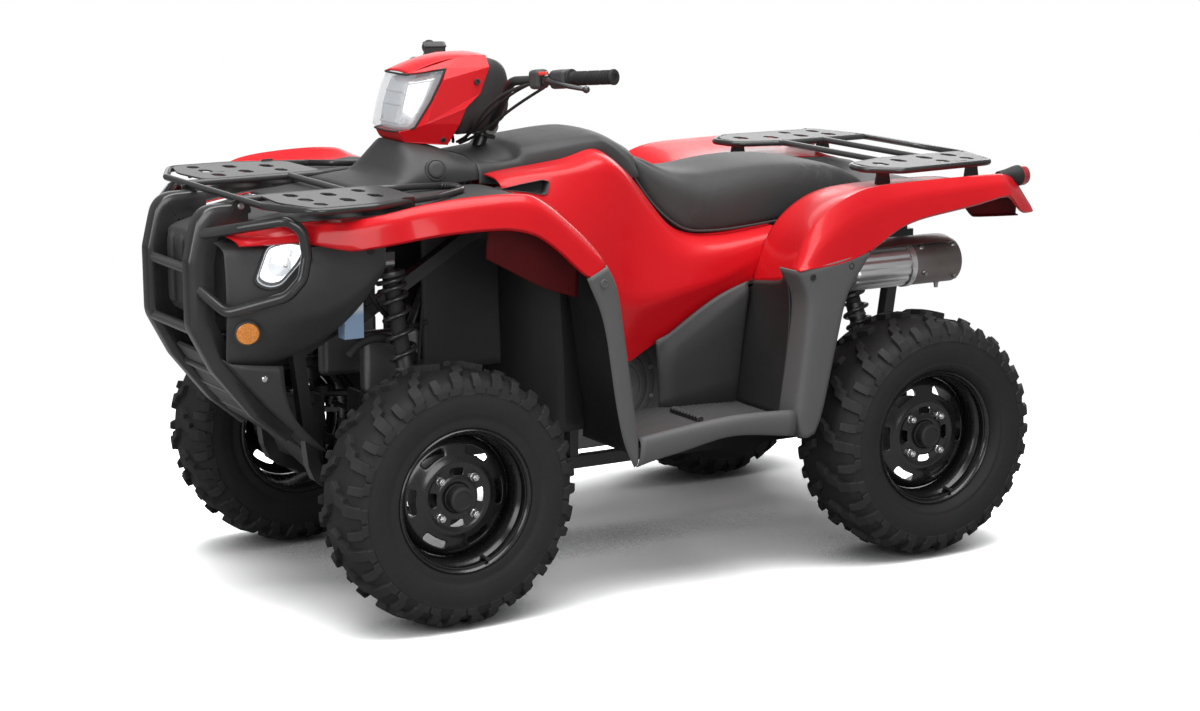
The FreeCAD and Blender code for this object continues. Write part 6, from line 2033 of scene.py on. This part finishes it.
fasten(fluted("muffler_shell", -622, -792, 56.5, 2.6), BRIGHT, ("exhaust",))
cap = turned("muffler_cap",
             [(-160, 0.1), (-160, 50), (-168, 56.5), (-176, 57), (-320, 57), (-327, 55),
              (-330, 50), (-330.5, 40), (-326, 37), (-326, 0.1)], MUFFLER, (1, 0, 0), 72)
band = turned("muffler_band", [(-170, 57), (-170, 59.5), (-184, 59.5), (-184, 57)], MUFFLER,
              (1, 0, 0), 72)
neck_cone = turned("muffler_neck", [(36, 0.1), (36, 21), (30, 23), (4, 50), (-2, 52), (-8, 52)],
                   MUFFLER, (1, 0, 0), 56)
tail = turned("tail_pipe",
              [(-318, 12), (-340, 13), (-349, 13), (-350, 15), (-349, 17), (-326, 17)], MUFFLER,
              (1, 0, 0), 40)
for piece, finish in ((cap, HOT), (band, BRIGHT), (neck_cone, HOT), (tail, HOT)):
    fasten(piece, finish)
for index, (x, turn) in enumerate(((-830, 40), (-930, 40), (-830, 110), (-930, 130), (-905, 178))):
    angle = math.radians(turn)
    way = Vector((0, math.sin(angle), math.cos(angle)))
    fasten(turned("muffler_stud_%d" % index,
                  [(-3, 7.5), (1.5, 7.5), (3, 6), (7 if turn < 150 else 14, 5),
                   (7.5 if turn < 150 else 14.5, 0.1)],
                  Vector((x, MUFFLER.y, MUFFLER.z)) + way * 57, way, 6 if turn > 150 else 20),
           STEEL)
SHIELD_RADIUS = 64
shield_rows = []
for x, lift in ((-640, 0), (-648, 3), (-780, 3.5), (-900, 3.5), (-922, 2), (-930, -2)):
    row = []
    for turn in range(-82, 39, 10):
        angle = math.radians(turn)
        radius = SHIELD_RADIUS + lift
        row.append((x, MUFFLER.y + radius * math.sin(angle), MUFFLER.z + radius * math.cos(angle)))
    shield_rows.append(row)
fasten(skin("muffler_heat_shield", shield_rows, -2, 2, {0: 1, 12: 1}, {0: 1, 5: 1, 1: 0.6}),
       SHIELD, ("muffler_shield",))
fasten(bar("exhaust_header",
           [(62, 112, 600), (60, 172, 600), (-40, 205, 650), (-480, 205, 692), (-600, 316, 700)],
           18, 60, steps=8, sides=5), HOT)
fasten(plate("muffler_hanger",
             rounded_outline([(-818, 140), (-782, 140), (-770, 270), (-830, 270)], 8), [],
             frame_at((0, 0, 770), (1, 0, 0), (0, 1, -0.52)), 4), FRAME_BLACK)

# %% Tail lamps
for hand, side in HANDS:
    fasten(turned("tail_lamp_base_" + hand,
                  [(-58, 0.1), (-56, 15), (-30, 19), (-6, 25), (4, 26.8), (8, 26.6), (10, 25),
                   (10, 0.1)], (-1034, side * 470, 926), (-1, 0, 0), 48), WELL,
           ("tail_lamps",) if side > 0 else ())
    fasten(turned("tail_lamp_lens_" + hand,
                  [(8, 26), (22, 25.6), (29, 23), (33, 16), (34, 7), (34.1, 0.1)],
                  (-1034, side * 470, 926), (-1, 0, 0), 48), TAIL_RED)

# %% [markdown]
# ## Engine and running gear
# Little of the engine shows, so it stays one block with a few real details where light reaches:
# a round side cover with its ring of bolts, cooling fins on the cylinder, and a bright casting
# seen through the front wheel arch. Bellows cover the drive joints. Each knuckle carries a
# brake drum plate.

# %% Side cover, fins and castings
for hand, side in HANDS:
    fasten(turned("engine_cover_" + hand,
                  [(-6, 118), (4, 118), (9, 114), (11, 104), (11, 92), (26, 84), (30, 74),
                   (30, 60), (34, 56), (36, 30), (34, 0.1)], (-60, side * 114, 430), (0, side, 0),
                  72), CAST)
    for index in range(9):
        angle = 2 * math.pi * index / 9
        fasten(turned("engine_bolt_%s_%d" % (hand, index),
                      [(0, 0.1), (0, 6.5), (5, 6.5), (6, 5.5), (6, 3), (3, 2.8), (3, 0.1)],
                      (-60 + 109 * math.cos(angle), side * 123, 430 + 109 * math.sin(angle)),
                      (0, side, 0), 18), STEEL)
    for index in range(7):
        z = 600 + index * 15
        fasten(plate("cooling_fin_%s_%d" % (hand, index),
                     rounded_outline([(18, 96), (162, 96), (150, 128), (30, 128)], 8), [],
                     Matrix.Translation((0, 0, z * MM)) @ Matrix.Diagonal((1, side, 1, 1)), 5,
                     0.8), CAST)
    fasten(block("front_fan_housing_" + hand, (560, side * 118, 560), (1, 0, 0), (0, 1, 0),
                 (0, 0, 1), (150, 40, 150), 16), CAST)


# %% Bellows and drum plates
def bellows(name, axle_x, start, end):
    """Pleated rubber boot over a drive joint, narrowing towards its end."""
    line = [(start, 16)]
    for index in range(6):
        at = start + (end - start) * (index + 0.5) / 6
        high = 34 - index * 2.2
        line += [(at - (end - start) / 14, high - 6), (at, high),
                 (at + (end - start) / 14, high - 6)]
    line.append((end, 15))
    made = turned(name, line, (axle_x, 0, AXLE_Z), (0, 1, 0), 40, sharp=50)
    fasten(both_sides(made), GRIP)


bellows("front_inner_bellows", 577.5, 80, 136)
bellows("front_outer_bellows", 577.5, 366, 312)
bellows("rear_inner_bellows", -717.5, 94, 150)
bellows("rear_outer_bellows", -717.5, 402, 348)
for hand, side in HANDS:
    fasten(turned("front_drum_" + hand,
                  [(396, 0.1), (396, 44), (400, 72), (404, 86), (408, 88), (414, 88), (416, 84),
                   (416, 0.1)], (577.5, 0, AXLE_Z), (0, side, 0), 56), CAST,
           body="knuckle_" + hand)
for hand, side in HANDS:
    fasten(turned("rear_drum_" + hand,
                  [(433, 0.1), (433, 44), (437, 70), (441, 82), (446, 84), (453, 84), (455, 80),
                   (455, 0.1)], (-717.5, 0, AXLE_Z), (0, side, 0), 56), CAST)

# %% Hoses in the front arch
HOSES = {"radiator_hose": ([(520, 190, 560), (560, 214, 610), (610, 222, 640), (680, 214, 640),
                            (705, 200, 600)], 11),
         "brake_hose_front": ([(500, 180, 700), (540, 230, 600), (560, 262, 480), (564, 300, 446),
                               (566, 330, 430)], 4.2),
         "breather_hose": ([(660, 170, 860), (670, 205, 780), (640, 214, 700), (560, 196, 640),
                            (480, 160, 650)], 6)}
for name, (points, radius) in HOSES.items():
    made = bar(name, points, radius, smooth=True, sides=3)
    fasten(both_sides(made), GRIP)
